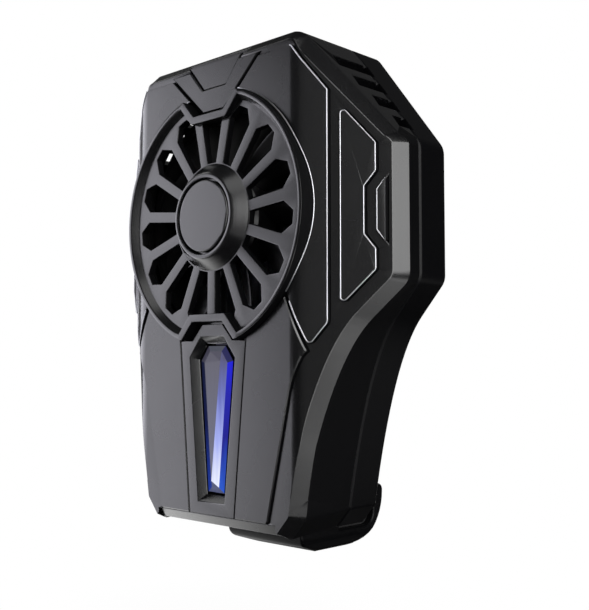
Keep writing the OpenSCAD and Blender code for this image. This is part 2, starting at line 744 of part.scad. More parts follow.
// Slot in the foot for the sliding arm
slot_x = arm_w / 2 + slide_gap;
module arm_slot() box([-slot_x, guide_back, foot_z - cut], [slot_x, wall_inner, foot_z + wall + cut]);

// Rounded opening in the foot for the power socket
socket_mid = board_front - socket_h / 2;
module socket_shape(grow, z0, z1) {
    r = socket_h / 2 + grow;
    x = socket_w / 2 - socket_h / 2;
    translate([0, socket_mid, z0]) {
        translate([-x, -r, 0]) cube([2 * x, 2 * r, z1 - z0]);
        for (side = [-1, 1]) translate([side * x, 0, 0]) cylinder(r = r, h = z1 - z0);
    }
}

// Opening in the front for the back of the light bezel
tub_corners = inset(lens_corners, -lens_recess);
module tub_opening() prism(-cut, inner_level + cut) polygon(rounded(inset(tub_corners, -seat_gap)));

// Front housing
module front_shell() placed() color("#242427") difference() {
    union() {
        difference() {
            intersection() {
                behind_face(base_level);
                strip_block();
            }
            intersection() {
                behind_face(inner_level);
                prism(-cut, parting_d + cut) polygon(body_outline(wall));
            }
        }
        on_both_sides() for (q = screw_places) intersection() {
            disc(boss_r, 0, parting_d, q[0], q[1]);
            behind_face(base_level + wall / 2);
        }
    }
    on_both_sides() {
        face_pocket(upper_panel_corners);
        face_pocket(lower_panel_corners);
        face_pocket(side_panel_corners);
        face_pocket(side_insert_corners);
        vent_slits();
        for (q = screw_places) disc(screw_r, parting_d - screw_bite - 1, parting_d + cut, q[0], q[1]);
    }
    face_pocket(collar_corners);
    prism(-cut, top_plate_set + panel_t) polygon([
        xy(top_plate_corners[0]) + [-seat_gap, -seat_gap],
        xy(top_plate_corners[1]) + [seat_gap, -seat_gap],
        xy(top_plate_corners[2]) + [seat_gap + 1, 1],
        xy(top_plate_corners[3]) + [-seat_gap - 1, 1]]);
    face_pocket(bezel_corners);
    tub_opening();
    disc(ring_r + ring_gap, -3, ring_seat);
    disc(ring_r - 1.5, -3, inner_level + 4);
    disc(duct_out_r + 0.3, duct_front - 0.3, parting_d + cut);
    socket_shape(socket_gap, foot_z - cut, foot_z + wall + cut);
    arm_slot();
}

// Rear housing
module rear_shell() placed() color("#1b1b1d") difference() {
    union() {
        difference() {
            loft([
                ring_at(body_outline(parting_break), parting_d),
                ring_at(body_outline(0), parting_d + parting_break),
                ring_at(body_outline(0), body_d - rear_chamfer),
                ring_at(body_outline(rear_chamfer), body_d)]);
            prism(parting_d - cut, wall_inner) polygon(body_outline(wall));
        }
        on_both_sides() for (q = screw_places) disc(boss_r, parting_d, wall_inner + cut / 2, q[0], q[1]);
    }
    plate_prism(plate_gap, wall_inner - cut, body_d + cut);
    arm_slot();
    on_both_sides() {
        vent_slits();
        for (q = screw_places) {
            disc(screw_r + 0.15, parting_d - cut, body_d + cut, q[0], q[1]);
            disc(screw_head_r + 0.2, head_seat, body_d + cut, q[0], q[1]);
        }
        disc(hook_screw_r, wall_inner - cut, body_d + cut, hook_screw_x, hook_screw_z);
    }
}

// Trim panels
module upper_panel() difference() {
    face_plate(upper_panel_corners);
    disc(ring_r + ring_gap, -3, far / 3);
}
module lower_panel() difference() {
    face_plate(lower_panel_corners);
    disc(ring_r + ring_gap, -3, far / 3);
}
module upper_panel_left() placed() color("#3a3a3e") mirror([1, 0, 0]) upper_panel();
module upper_panel_right() placed() color("#3a3a3e") upper_panel();
module lower_panel_left() placed() color("#343438") mirror([1, 0, 0]) lower_panel();
module lower_panel_right() placed() color("#343438") lower_panel();
module collar_trim() placed() color("#3d3d41") difference() {
    prism(0, panel_t) polygon(rounded(collar_corners));
    prism(-cut, panel_t + cut) polygon([
        xy(top_plate_corners[0]) + [-seat_gap, -seat_gap],
        xy(top_plate_corners[1]) + [seat_gap, -seat_gap],
        xy(top_plate_corners[2]) + [seat_gap + 1, 1],
        xy(top_plate_corners[3]) + [-seat_gap - 1, 1]]);
}
module top_inset() placed() color("#38383c") prism(top_plate_set, top_plate_set + panel_t)
    polygon(rounded(top_plate_corners));
module side_panel_left() placed() color("#2f2f33") mirror([1, 0, 0]) face_plate(side_panel_corners);
module side_panel_right() placed() color("#2f2f33") face_plate(side_panel_corners);
module side_insert_left() placed() color("#2f2f33") mirror([1, 0, 0]) face_plate(side_insert_corners);
module side_insert_right() placed() color("#2f2f33") face_plate(side_insert_corners);

// Notch at the top of the ring, with its walls moved outwards by grow
module notch(grow) {
    reach = tan(notch_lean) * (notch_mouth - notch_floor);
    polygon(rounded(inset(sharp([
        [-notch_w / 2, notch_floor],
        [notch_w / 2, notch_floor],
        [notch_w / 2 + reach, notch_mouth],
        [-notch_w / 2 - reach, notch_mouth]]), -grow)));
}
module notches(grow) {
    notch(grow);
    mirror([0, 1]) notch(grow);
}

// One opening of the grille, pointing up
module opening() polygon([
    [-opening_in_w / 2, opening_in_r],
    [opening_in_w / 2, opening_in_r],
    [opening_mid_w / 2, opening_mid_r],
    [opening_out_w / 2, opening_out_r],
    [-opening_out_w / 2, opening_out_r],
    [-opening_mid_w / 2, opening_mid_r]]);

// Fan ring with grille and hub
module fan_grille() placed() color("#3f3f43") difference() {
    union() {
        difference() {
            prism(-rim_proud, ring_seat) difference() {
                circle(ring_r);
                notches(0);
                circle(ring_r - rim_w - rim_slope);
            }
            turned() polygon([[0, -rim_proud - grille_set], [ring_r - rim_w + rim_slope, -rim_proud - grille_set],
                [ring_r - rim_w - rim_slope, grille_front], [0, grille_front]]);
        }
        prism(-rim_proud, ring_seat) difference() {
            intersection() {
                circle(ring_r);
                notches(notch_wall);
            }
            notches(0);
        }
        prism(grille_front, grille_back) difference() {
            circle(ring_r - rim_w - rim_slope / 2);
            notches(notch_wall / 2);
            difference() {
                for (k = [0:opening_count - 1]) rotate(360 / opening_count * k) opening();
                notches(notch_wall);
            }
        }
        prism(panel_t, ring_seat) intersection() {
            circle(ring_r - rim_w / 2);
            notches(notch_wall / 2);
        }
        turned() polygon([[0, -hub_proud], [hub_front_r - 0.3, -hub_proud], [hub_front_r, -hub_proud + 0.3],
            [hub_base_r, grille_front], [hub_base_r, grille_back], [0, grille_back]]);
    }
    disc(cap_r + cap_gap, -hub_proud - cut, -hub_proud + cap_t);
}

// Cap on the hub
module hub_cap() placed() color("#404044") turned() polygon([[0, -hub_proud], [cap_r - 0.15, -hub_proud],
    [cap_r, -hub_proud + 0.15], [cap_r, -hub_proud + cap_t], [0, -hub_proud + cap_t]]);

// Bezel around the light, with a sloping recess and a tub behind
module light_bezel() placed() color("#323236") difference() {
    union() {
        prism(0, panel_t) polygon(rounded(bezel_corners));
        prism(panel_t, lens_back) polygon(rounded(tub_corners));
    }
    loft([ring_at(rounded(inset(lens_corners, -lens_recess * (lens_set + 0.5) / lens_set)), -0.5),
        ring_at(rounded(inset(lens_corners, -seat_gap)), lens_set)]);
    prism(lens_set, lens_back + cut) polygon(rounded(inset(lens_corners, -seat_gap)));
    disc(ring_r + ring_gap / 2, panel_t, ring_seat);
}

// Outline of the lens's flange and of the light board, which end below the fan duct
flange_corners = [for (q = inset(lens_corners, -lens_flange_w))
    q[1] > lens_top ? [q[0], -(duct_out_r + led_gap), q[2]] : q];

// Faceted lens with a flange behind the bezel
module light_lens() placed() color("#5a6cff", 0.8) union() {
    loft([
        ring_at(rounded(inset(lens_corners, facet_w)), lens_set - facet_h),
        ring_at(rounded(lens_corners), lens_set),
        ring_at(rounded(lens_corners), lens_back)]);
    prism(lens_back, led_front) polygon(rounded(flange_corners));
}

// Strip of light sources behind the lens
module led_board() placed() color("#1f5a38") union() {
    prism(led_back, led_back + board_t) polygon(rounded(flange_corners));
    leds = 5;
    step = (lens_shoulder - lens_foot - 2) / (leds - 1);
    for (k = [0:leds - 1]) translate([0, 0, lens_foot + 1 + k * step])
        box([-0.8, led_front, -0.7], [0.8, led_back, 0.7]);
}

// Point of a blade: radius share s, chord share t, side of the blade
function blade_point(s, t, side) =
    let (r = rotor_r - rotor_wall / 2 + s * (blade_tip_r - rotor_r + rotor_wall / 2),
        span = blade_root_turn + s * (blade_tip_turn - blade_root_turn),
        bow = 5 * sin(180 * t),
        half = blade_t * (0.35 + 0.65 * sin(180 * (0.1 + 0.8 * t))) / 2,
        w = blade_sweep * s + span * (t - 0.5) + bow + side * half / r * 180 / PI)
    [r * sin(w), rotor_front + 0.25 + t * (rotor_len - 0.6), r * cos(w)];

// One blade of the impeller, lofted from root to tip
module blade() {
    chord = 6;
    radial = 5;
    n = 2 * (chord + 1);
    rings = [for (i = [0:radial]) concat(
        [for (k = [0:chord]) blade_point(i / radial, k / chord, 1)],
        [for (k = [chord:-1:0]) blade_point(i / radial, k / chord, -1)])];
    sides = [for (k = [0:radial - 1], i = [0:n - 1]) let (a = k * n + i, b = k * n + (i + 1) % n)
        each [[a, a + n, b + n], [a, b + n, b]]];
    root = [for (k = [0:chord - 1]) each [[k, k + 1, n - 2 - k], [k, n - 2 - k, n - 1 - k]]];
    tip = [for (f = root) [for (i = [2:-1:0]) f[i] + radial * n]];
    polyhedron([for (ring = rings) each ring], concat(sides, root, tip));
}

// Impeller
module fan_rotor() placed() color("#151517") difference() {
    union() {
        turned() polygon([
            [0, rotor_front],
            [rotor_r - 0.6, rotor_front],
            [rotor_r, rotor_front + 0.6],
            [rotor_r, rotor_back],
            [cup_r, rotor_back],
            [cup_r, rotor_front + 0.9],
            [shaft_r + 0.9, rotor_front + 0.9],
            [shaft_r + 0.9, stator_front - 0.3],
            [0, stator_front - 0.3]]);
        for (k = [0:blade_count - 1]) rotate([0, 360 / blade_count * k, 0]) blade();
    }
    disc(shaft_r, rotor_front + 0.3, rotor_back);
}

// Magnet ring inside the impeller
module rotor_magnet() placed() color("#4a4744") difference() {
    disc(cup_r, rotor_front + rotor_len * 0.28, stator_back);
    disc(magnet_r, rotor_front, rotor_back);
}

// Shaft pressed into the impeller
module rotor_shaft() placed() color("#c8c9cc") disc(shaft_r, rotor_front + 0.3, frame_back - 0.8);

// Bearing sleeve in the fan frame's tube
module bearing_sleeve() placed() color("#b08d57") prism(stator_front, frame_back - 0.4) difference() {
    circle(sleeve_r);
    circle(shaft_r + shaft_play);
}

// Stator core with its poles
pole_w = stator_r * 0.25;
pole_head = stator_r * 0.13;
module motor_stator() placed() color("#7d7f84") prism(stator_front, stator_back) {
    difference() {
        circle(tube_r + 0.6);
        circle(tube_r + press_gap);
    }
    for (k = [0:pole_count - 1]) rotate(360 / pole_count * k) {
        translate([-pole_w / 2, tube_r + 0.3]) square([pole_w, stator_r - tube_r - 0.6]);
        intersection() {
            difference() {
                circle(stator_r);
                circle(stator_r - pole_head);
            }
            polygon([[0, 0], [-stator_r * 0.62, stator_r], [stator_r * 0.62, stator_r]]);
        }
    }
}

// Windings round the poles
module motor_coils() placed() color("#b4622d") for (k = [0:pole_count - 1])
    rotate([0, 360 / pole_count * k, 0]) difference() {
        box([-pole_w / 2 - 0.5, stator_front - 0.25, tube_r + 0.65],
            [pole_w / 2 + 0.5, stator_back + 0.25, stator_r - pole_head - 0.15]);
        box([-pole_w / 2, stator_front, tube_r], [pole_w / 2, stator_back, stator_r]);
    }

// Places of the fan frame's lugs
lug_angles = [lug_angle, 180 - lug_angle, 180 + lug_angle, 360 - lug_angle];
lug_places = [for (a = lug_angles) lug_reach * [cos(a), sin(a)]];

// Fan frame: duct, arms, motor base and bearing tube
module fan_frame() placed() color("#1d1d1f") difference() {
    union() {
        prism(duct_front, frame_back) difference() {
            circle(duct_out_r);
            circle(duct_r);
        }
        prism(frame_front, frame_back) {
            circle(rotor_r);
            for (k = [0:arm_count - 1]) rotate(360 / arm_count * (k + 0.5))
                translate([-frame_arm_w / 2, rotor_r - 1]) square([frame_arm_w, duct_r - rotor_r + 1.6]);
            for (q = lug_places) translate(q) circle(lug_r);
            for (a = lug_angles) rotate(a) translate([duct_r + duct_wall / 2, -lug_r])
                square([lug_reach - duct_r - duct_wall / 2, 2 * lug_r]);
        }
        disc(tube_r, stator_front, frame_back);
    }
    disc(sleeve_r, stator_front - cut, frame_back - 0.4);
    for (q = lug_places) disc(fan_screw_r + 0.1, frame_front - cut, frame_back + cut, q[0], q[1]);
}

// Screws that hold the fan frame on the heat sink
module fan_screws() placed() color("#a8aaad") for (q = lug_places) translate([q[0], 0, q[1]])
    turned() polygon([
        [0, frame_front - 0.8],
        [fan_screw_r + 0.6, frame_front - 0.8],
        [fan_screw_r + 0.6, frame_front],
        [fan_screw_r, frame_front],
        [fan_screw_r, sink_base - 0.4],
        [0, sink_base - 0.4]]);

// Heat sink with upright fins and posts for the fan frame
module heat_sink() placed() color("#c3c6ca") difference() {
    fin_count = floor((stack_w - fin_t) / fin_pitch) + 1;
    union() {
        box([-stack_w / 2, sink_base, -stack_h / 2], [stack_w / 2, sink_back, stack_h / 2]);
        for (k = [0:fin_count - 1]) {
            x = (k - (fin_count - 1) / 2) * fin_pitch - fin_t / 2;
            box([x, frame_back + fin_gap, -stack_h / 2], [x + fin_t, sink_base + cut / 2, stack_h / 2]);
        }
        for (q = lug_places) disc(post_r, frame_back, sink_base + cut / 2, q[0], q[1]);
    }
    for (q = lug_places) disc(fan_screw_r, frame_back - cut, sink_base - 0.2, q[0], q[1]);
}

// Thermoelectric module between heat sink and cold plate
module peltier_module() placed() color("#e9e9e4") union() {
    half = module_w / 2;
    core = half - 0.8;
    box([-half, sink_back, -half], [half, sink_back + ceramic_t, half]);
    box([-core, sink_back + ceramic_t, -core], [core, flange_front - ceramic_t, core]);
    box([-half, flange_front - ceramic_t, -half], [half, flange_front, half]);
}

// Foam frame round the module
module foam_seal() placed() color("#2c2c2c") prism(sink_back, flange_front) difference() {
    square([stack_w, stack_h], center = true);
    square(module_w + 2 * foam_gap, center = true);
}

// Cold plate's face outline, grown by a gap
module plate_prism(grow, y0, y1) prism(y0, y1) polygon(rounded(inset([
    [-plate_w / 2, -plate_h / 2, plate_r],
    [plate_w / 2, -plate_h / 2, plate_r],
    [plate_w / 2, plate_h / 2, plate_r],
    [-plate_w / 2, plate_h / 2, plate_r]], -grow)));

// Cold plate with its flange inside the housing
module cold_plate() placed() color("#d4d6d8") union() {
    plate_prism(0, wall_inner, body_d + plate_proud);
    box([-stack_w / 2, flange_front, -stack_h / 2], [stack_w / 2, wall_inner, stack_h / 2]);
}

// Control board with its parts
board_top = guide_top - board_t * 1.5;
board_low = foot_z + wall + 0.4;
chip_w = board_w * 0.35;
part_w = board_w * 0.15;
row_w = board_w * 0.1;
module control_board() placed() color("#1f5a38") union() {
    box([-board_w / 2, board_front, board_low], [board_w / 2, board_back, board_top]);
    box([-chip_w / 2, board_front - board_t * 1.1, board_top - row_w - chip_w],
        [chip_w / 2, board_front, board_top - row_w]);
    box([chip_w * 0.75, board_front - board_t * 1.6, board_top - row_w - 2 * part_w],
        [chip_w * 0.75 + part_w, board_front, board_top - row_w - part_w]);
    for (k = [0:3]) translate([-chip_w * 0.95, 0, board_top - row_w * (k + 1.5)])
        box([-row_w, board_front - board_t * 0.7, 0], [0, board_front, row_w / 2]);
}

// Power socket in the foot
module usb_socket() placed() color("#b9bbbe") {
    low = foot_z + 0.3;
    difference() {
        socket_shape(0, low, low + socket_len);
        socket_shape(-socket_sheet, low - cut, low + socket_len - 1);
    }
    box([-3.3, socket_mid - 0.35, low + 0.8], [3.3, socket_mid + 0.35, low + socket_len - 1]);
}

// Fixed upper hook on the rear face
module upper_hook() placed() color("#202022") difference() {
    along_x(jaw_w / 2) polygon(rounded([
        [body_d, hook_rise, 0],
        [lip_in, hook_rise, floor_r],
        [lip_in, hook_rise - lip_h, lip_round],
        [lip_out, hook_rise - lip_h, lip_round],
        [lip_out, hook_top, hook_t + 1],
        [body_d + hook_flange_t, hook_top, 0],
        [body_d + hook_flange_t, hook_flange_z, 0],
        [body_d, hook_flange_z, 0]]));
    on_both_sides()
        disc(hook_screw_r, body_d - cut, body_d + hook_flange_t + cut, hook_screw_x, hook_screw_z);
}

// Soft pad in the upper hook
module upper_hook_pad() placed() color("#3b3b3d") along_x(pad_w / 2) polygon(rounded([
    [pad_start, hook_rise - pad_t, 0],
    [lip_in - pad_t, hook_rise - pad_t, floor_r - pad_t],
    [lip_in - pad_t, hook_rise - lip_h + lip_round, 0],
    [lip_in, hook_rise - lip_h + lip_round, 0],
    [lip_in, hook_rise, floor_r],
    [pad_start, hook_rise, 0]]));

// Screws of the upper hook
module hook_screws() placed() color("#9a9ca0") on_both_sides() translate([hook_screw_x, 0, hook_screw_z])
    turned() polygon([[0, wall_inner], [hook_screw_r, wall_inner], [hook_screw_r, body_d + hook_flange_t],
        [hook_screw_head_r, body_d + hook_flange_t], [hook_screw_head_r, body_d + hook_flange_t + 0.6],
        [hook_screw_head_r - 0.3, body_d + hook_flange_t + 0.9], [0, body_d + hook_flange_t + 0.9]]);

// Sliding lower jaw: J-shaped foot, arm with spring channels, stop lugs and spring pins
channel_x = spring_r + spring_wire / 2 + 0.4;
module lower_jaw() placed() color("#202022") {
    intersection() {
        along_x(jaw_w / 2) polygon(rounded([
            [body_d - jaw_front, jaw_top, 0],
            [body_d - jaw_front, jaw_low + 1.85, 1.7],
            [body_d - jaw_front + 5.7, jaw_low, 5],
            [lip_out, jaw_low, jaw_r],
            [lip_out, floor_z + lip_h, lip_round],
            [lip_in, floor_z + lip_h, lip_round],
            [lip_in, floor_z, floor_r],
            [body_d + 0.4, floor_z, 0],
            [body_d + 0.4, jaw_top, 0]]));
        prism(0, lip_out + cut) polygon(rounded([
            [-jaw_w / 2, jaw_low, jaw_end_r],
            [jaw_w / 2, jaw_low, jaw_end_r],
            [jaw_w / 2, floor_z + lip_h + cut, 0],
            [-jaw_w / 2, floor_z + lip_h + cut, 0]]));
    }
    difference() {
        union() {
            box([-arm_w / 2, arm_front, jaw_top - cut], [arm_w / 2, arm_back, arm_top]);
            box([-arm_w / 2 - stop_lug, arm_front, arm_top - 2], [arm_w / 2 + stop_lug, arm_back, arm_top]);
        }
        on_both_sides() box([spring_x - channel_x, arm_front - cut, spring_pin_z - 1],
            [spring_x + channel_x, arm_back - arm_skin, arm_top + cut]);
    }
    on_both_sides() disc(spring_pin_r, arm_front + 0.2, arm_back - arm_skin / 2, spring_x, spring_pin_z);
}

// Soft pad in the lower jaw
module lower_jaw_pad() placed() color("#3b3b3d") along_x(pad_w / 2) polygon(rounded([
    [pad_start, floor_z, 0],
    [lip_in, floor_z, floor_r],
    [lip_in, floor_z + lip_h - lip_round, 0],
    [lip_in - pad_t, floor_z + lip_h - lip_round, 0],
    [lip_in - pad_t, floor_z + pad_t, floor_r - pad_t],
    [pad_start, floor_z + pad_t, 0]]));

// Guide over the sliding arm, with posts for the springs and the control board
module slider_guide() placed() color("#26262a") union() {
    box([-guide_x - guide_wall, guide_front, guide_low], [guide_x + guide_wall, guide_back, guide_top]);
    on_both_sides() {
        box([guide_x, guide_back - cut / 2, guide_low], [guide_x + guide_wall, wall_inner, guide_top]);
        disc(spring_post_r, guide_back - cut / 2, arm_back - arm_skin, spring_x, spring_post_z);
        for (z = [board_low + 3, board_top - 3])
            disc(1.2, board_back, guide_front + cut / 2, board_w / 2 - 2, z);
    }
}

// Helical spring along Z, swept from six-sided rings
spring_rings = 8;
spring_sides = 6;
spring_steps = spring_turns * spring_rings;
spring_pitch = (spring_top - spring_low) / spring_turns;
function coil_point(k) = let (w = 360 * k / spring_rings)
    [spring_r * cos(w), spring_r * sin(w), spring_low + (spring_top - spring_low) * k / spring_steps];
function coil_ring(k) =
    let (w = 360 * k / spring_rings, out = [cos(w), sin(w), 0], along = unit([-sin(w), cos(w),
        spring_pitch / (2 * PI * spring_r)]), up = cross(out, along))
    [for (i = [0:spring_sides - 1]) let (a = 360 * i / spring_sides)
        coil_point(k) + spring_wire / 2 * (out * cos(a) + up * sin(a))];
coil_gap = min([for (k = [0:spring_rings]) norm(coil_point(k + spring_rings) - coil_point(k))]) - spring_wire;
echo(coil_gap = coil_gap);
module spring() {
    n = spring_sides;
    sides = [for (k = [0:spring_steps - 1], i = [0:n - 1]) let (a = k * n + i, b = k * n + (i + 1) % n)
        each [[a, b, b + n], [a, b + n, a + n]]];
    first = [for (i = [1:n - 2]) [0, i + 1, i]];
    last = [for (f = first) [for (i = [2:-1:0]) f[i] + spring_steps * n]];
    translate([spring_x, spring_y, 0])
        polyhedron([for (k = [0:spring_steps]) each coil_ring(k)], concat(sides, first, last));
}
module spring_left() placed() color("#b8babd") mirror([1, 0, 0]) spring();
module spring_right() placed() color("#b8babd") spring();

// Screws that hold the housings together
module shell_screws() placed() color("#9a9ca0") on_both_sides() for (q = screw_places)
    translate([q[0], 0, q[1]]) turned() polygon([
        [0, parting_d - screw_bite],
        [screw_r, parting_d - screw_bite],
        [screw_r, head_seat],
        [screw_head_r, head_seat],
        [screw_head_r, head_seat + 0.7],
        [screw_head_r - 0.2, head_seat + 0.9],
        [0, head_seat + 0.9]]);

front_shell();
rear_shell();
upper_panel_left();
upper_panel_right();
lower_panel_left();
lower_panel_right();
collar_trim();
top_inset();
side_panel_left();
side_panel_right();
side_insert_left();
side_insert_right();
fan_grille();
hub_cap();
light_bezel();
light_lens();
led_board();
fan_rotor();
rotor_magnet();
rotor_shaft();
bearing_sleeve();
motor_stator();
motor_coils();
fan_frame();
fan_screws();
heat_sink();
peltier_module();
foam_seal();
cold_plate();
control_board();
usb_socket();
upper_hook();
upper_hook_pad();
hook_screws();
lower_jaw();
lower_jaw_pad();
slider_guide();
spring_left();
spring_right();
shell_screws();
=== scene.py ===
import logging
import math
from dataclasses import dataclass, field
from enum import Enum
from typing import Any, Callable, Iterable

import bpy
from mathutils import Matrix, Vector


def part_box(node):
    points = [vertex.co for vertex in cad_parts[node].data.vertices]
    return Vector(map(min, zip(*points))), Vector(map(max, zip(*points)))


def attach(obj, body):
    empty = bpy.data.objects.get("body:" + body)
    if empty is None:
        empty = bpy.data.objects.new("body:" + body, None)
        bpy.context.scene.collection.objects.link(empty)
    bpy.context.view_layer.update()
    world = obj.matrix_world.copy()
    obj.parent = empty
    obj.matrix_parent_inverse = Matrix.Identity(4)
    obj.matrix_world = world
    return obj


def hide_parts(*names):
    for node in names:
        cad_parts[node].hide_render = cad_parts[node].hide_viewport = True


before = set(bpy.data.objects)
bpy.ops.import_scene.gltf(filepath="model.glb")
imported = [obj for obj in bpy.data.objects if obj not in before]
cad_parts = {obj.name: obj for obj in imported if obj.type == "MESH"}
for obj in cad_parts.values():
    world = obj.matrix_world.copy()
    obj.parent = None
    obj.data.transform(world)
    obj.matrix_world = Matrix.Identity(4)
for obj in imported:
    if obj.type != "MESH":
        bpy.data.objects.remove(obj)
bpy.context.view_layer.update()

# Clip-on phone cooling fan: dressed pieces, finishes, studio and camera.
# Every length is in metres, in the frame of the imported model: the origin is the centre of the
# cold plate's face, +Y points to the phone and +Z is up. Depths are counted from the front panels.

LOG = logging.getLogger("phone_cooling_fan")
MM = 0.001
FRONT_Y = -0.0206
PARTING_Y = -0.0071
TOUCH = 0.05 * MM  # places that are closer than this count as one
SHARP_TURN = 24.0  # an edge that turns by more degrees than this is a corner
ROOM_LEVEL = 0.03  # brightness of the dim room that the plastic mirrors
WHITE = "#ffffff"
BLACK = "#000000"

Triple = tuple[float, float, float]
Test = Callable[[Vector], bool]


class Element(Enum):
    """Kinds of mesh element that edit mode can select."""

    VERTEX = (True, False, False)
    EDGE = (False, True, False)
    FACE = (False, False, True)


class Body(Enum):
    """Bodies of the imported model."""

    HOUSING = "housing"
    ROTOR = "rotor"
    JAW = "jaw"


def linear(colour: str) -> tuple[float, float, float, float]:
    """Turns an sRGB hex colour into linear RGBA.

    Args:
        colour: Hex colour such as "#3a3a3e".

    Returns:
        Linear red, green and blue, and an alpha of 1.
    """
    shares = [int(colour[k:k + 2], 16) / 255 for k in (1, 3, 5)]
    red, green, blue = [s / 12.92 if s <= 0.04045 else ((s + 0.055) / 1.055) ** 2.4 for s in shares]
    return red, green, blue, 1.0


def add_node(
    tree: bpy.types.NodeTree,
    kind: str,
    sockets: dict[Any, Any] | None = None,
    links: dict[Any, bpy.types.NodeSocket] | None = None,
    **settings: Any,
) -> bpy.types.Node:
    """Adds a shader node with its settings and links.

    Args:
        tree: Node tree of the material or world.
        kind: Node type, such as "ShaderNodeTexNoise".
        sockets: Values of input sockets, by name or index.
        links: Output sockets to link to input sockets, by name or index.
        settings: Properties of the node itself.

    Returns:
        The new node.
    """
    node = tree.nodes.new(kind)
    for key, value in settings.items():
        setattr(node, key, value)
    for key, value in (sockets or {}).items():
        node.inputs[key].default_value = value
    for key, source in (links or {}).items():
        tree.links.new(source, node.inputs[key])
    return node


def add_math(
    tree: bpy.types.NodeTree, operation: str, first: bpy.types.NodeSocket, second: Any = None,
) -> bpy.types.NodeSocket:
    """Adds a node that works out a number.

    Args:
        tree: Node tree of the material or world.
        operation: What the node does, such as "MAXIMUM".
        first: Socket with the first number.
        second: Socket with the second number or the number itself, if there is one.

    Returns:
        The socket with the result.
    """
    linked = isinstance(second, bpy.types.NodeSocket)
    numbers = {} if linked or second is None else {1: second}
    links = {0: first, 1: second} if linked else {0: first}
    return add_node(tree, "ShaderNodeMath", numbers, links, operation=operation).outputs["Value"]


def add_range(
    tree: bpy.types.NodeTree,
    value: bpy.types.NodeSocket,
    spread: tuple[float, float],
    result: tuple[float, float] = (0.0, 1.0),
) -> bpy.types.NodeSocket:
    """Adds a node that turns one range of numbers into another and stops at its ends.

    Args:
        tree: Node tree of the material or world.
        value: Socket with the number to turn.
        spread: Start and end of the number's own range.
        result: What the start and the end become.

    Returns:
        The socket with the result.
    """
    return add_node(tree, "ShaderNodeMapRange", {
        "From Min": spread[0], "From Max": spread[1], "To Min": result[0], "To Max": result[1],
    }, {"Value": value}).outputs["Result"]


def add_blend(
    tree: bpy.types.NodeTree, share: bpy.types.NodeSocket, first: bpy.types.NodeSocket, second: Any,
) -> bpy.types.NodeSocket:
    """Adds a node that mixes two colours.

    Args:
        tree: Node tree of the material.
        share: Socket with the second colour's share.
        first: Socket with the first colour.
        second: Socket with the second colour, or its linear RGBA.

    Returns:
        The socket with the mixed colour.
    """
    share_in, first_in, second_in, colour_out = 0, 6, 7, 2
    linked = isinstance(second, bpy.types.NodeSocket)
    colours = {} if linked else {second_in: second}
    links = {share_in: share, first_in: first, **({second_in: second} if linked else {})}
    return add_node(tree, "ShaderNodeMix", colours, links, data_type="RGBA").outputs[colour_out]


def new_material(name: str) -> bpy.types.Material:
    """Makes an empty node material.

    Args:
        name: Name of the material.

    Returns:
        The material, with a tree that holds no nodes.
    """
    material = bpy.data.materials.new(name)
    material.use_nodes = True
    material.node_tree.nodes.clear()
    return material


@dataclass(frozen=True)
class MouldedPlastic:
    """Injection-moulded plastic: a dyed body under the fine, even grain of a spark-eroded tool.

    To the eye it is a dark body with a soft, wide sheen that is slightly uneven over centimetres.
    """

    name: str
    colour: str
    roughness: float
    specular: float = 0.5
    grain: float = 0.22 * MM
    grain_depth: float = 0.004 * MM
    grain_strength: float = 0.35
    cloud: float = 9 * MM
    unevenness: float = 0.05
    ior: float = 1.5

    def material(self) -> bpy.types.Material:
        """Builds the node material."""
        material = new_material(self.name)
        tree = material.node_tree
        place = add_node(tree, "ShaderNodeTexCoord")
        # The real grain is about 0.05 mm across; it is drawn coarser so that it shows at all.
        grain = add_node(tree, "ShaderNodeTexNoise", {"Scale": 1 / self.grain, "Detail": 2.0},
                         {"Vector": place.outputs["Object"]})
        bump = add_node(tree, "ShaderNodeBump", {
            "Strength": self.grain_strength, "Distance": self.grain_depth,
        }, {"Height": grain.outputs["Fac"]})
        cloud = add_node(tree, "ShaderNodeTexNoise", {"Scale": 1 / self.cloud, "Detail": 3.0},
                         {"Vector": place.outputs["Object"]})
        sheen = add_range(tree, cloud.outputs["Fac"], (0.0, 1.0), (
            self.roughness - self.unevenness, self.roughness + self.unevenness))
        shader = add_node(tree, "ShaderNodeBsdfPrincipled", {
            "Base Color": linear(self.colour), "Specular IOR Level": self.specular, "IOR": self.ior,
        }, {"Roughness": sheen, "Normal": bump.outputs["Normal"]})
        add_node(tree, "ShaderNodeOutputMaterial", links={"Surface": shader.outputs["BSDF"]})
        return material


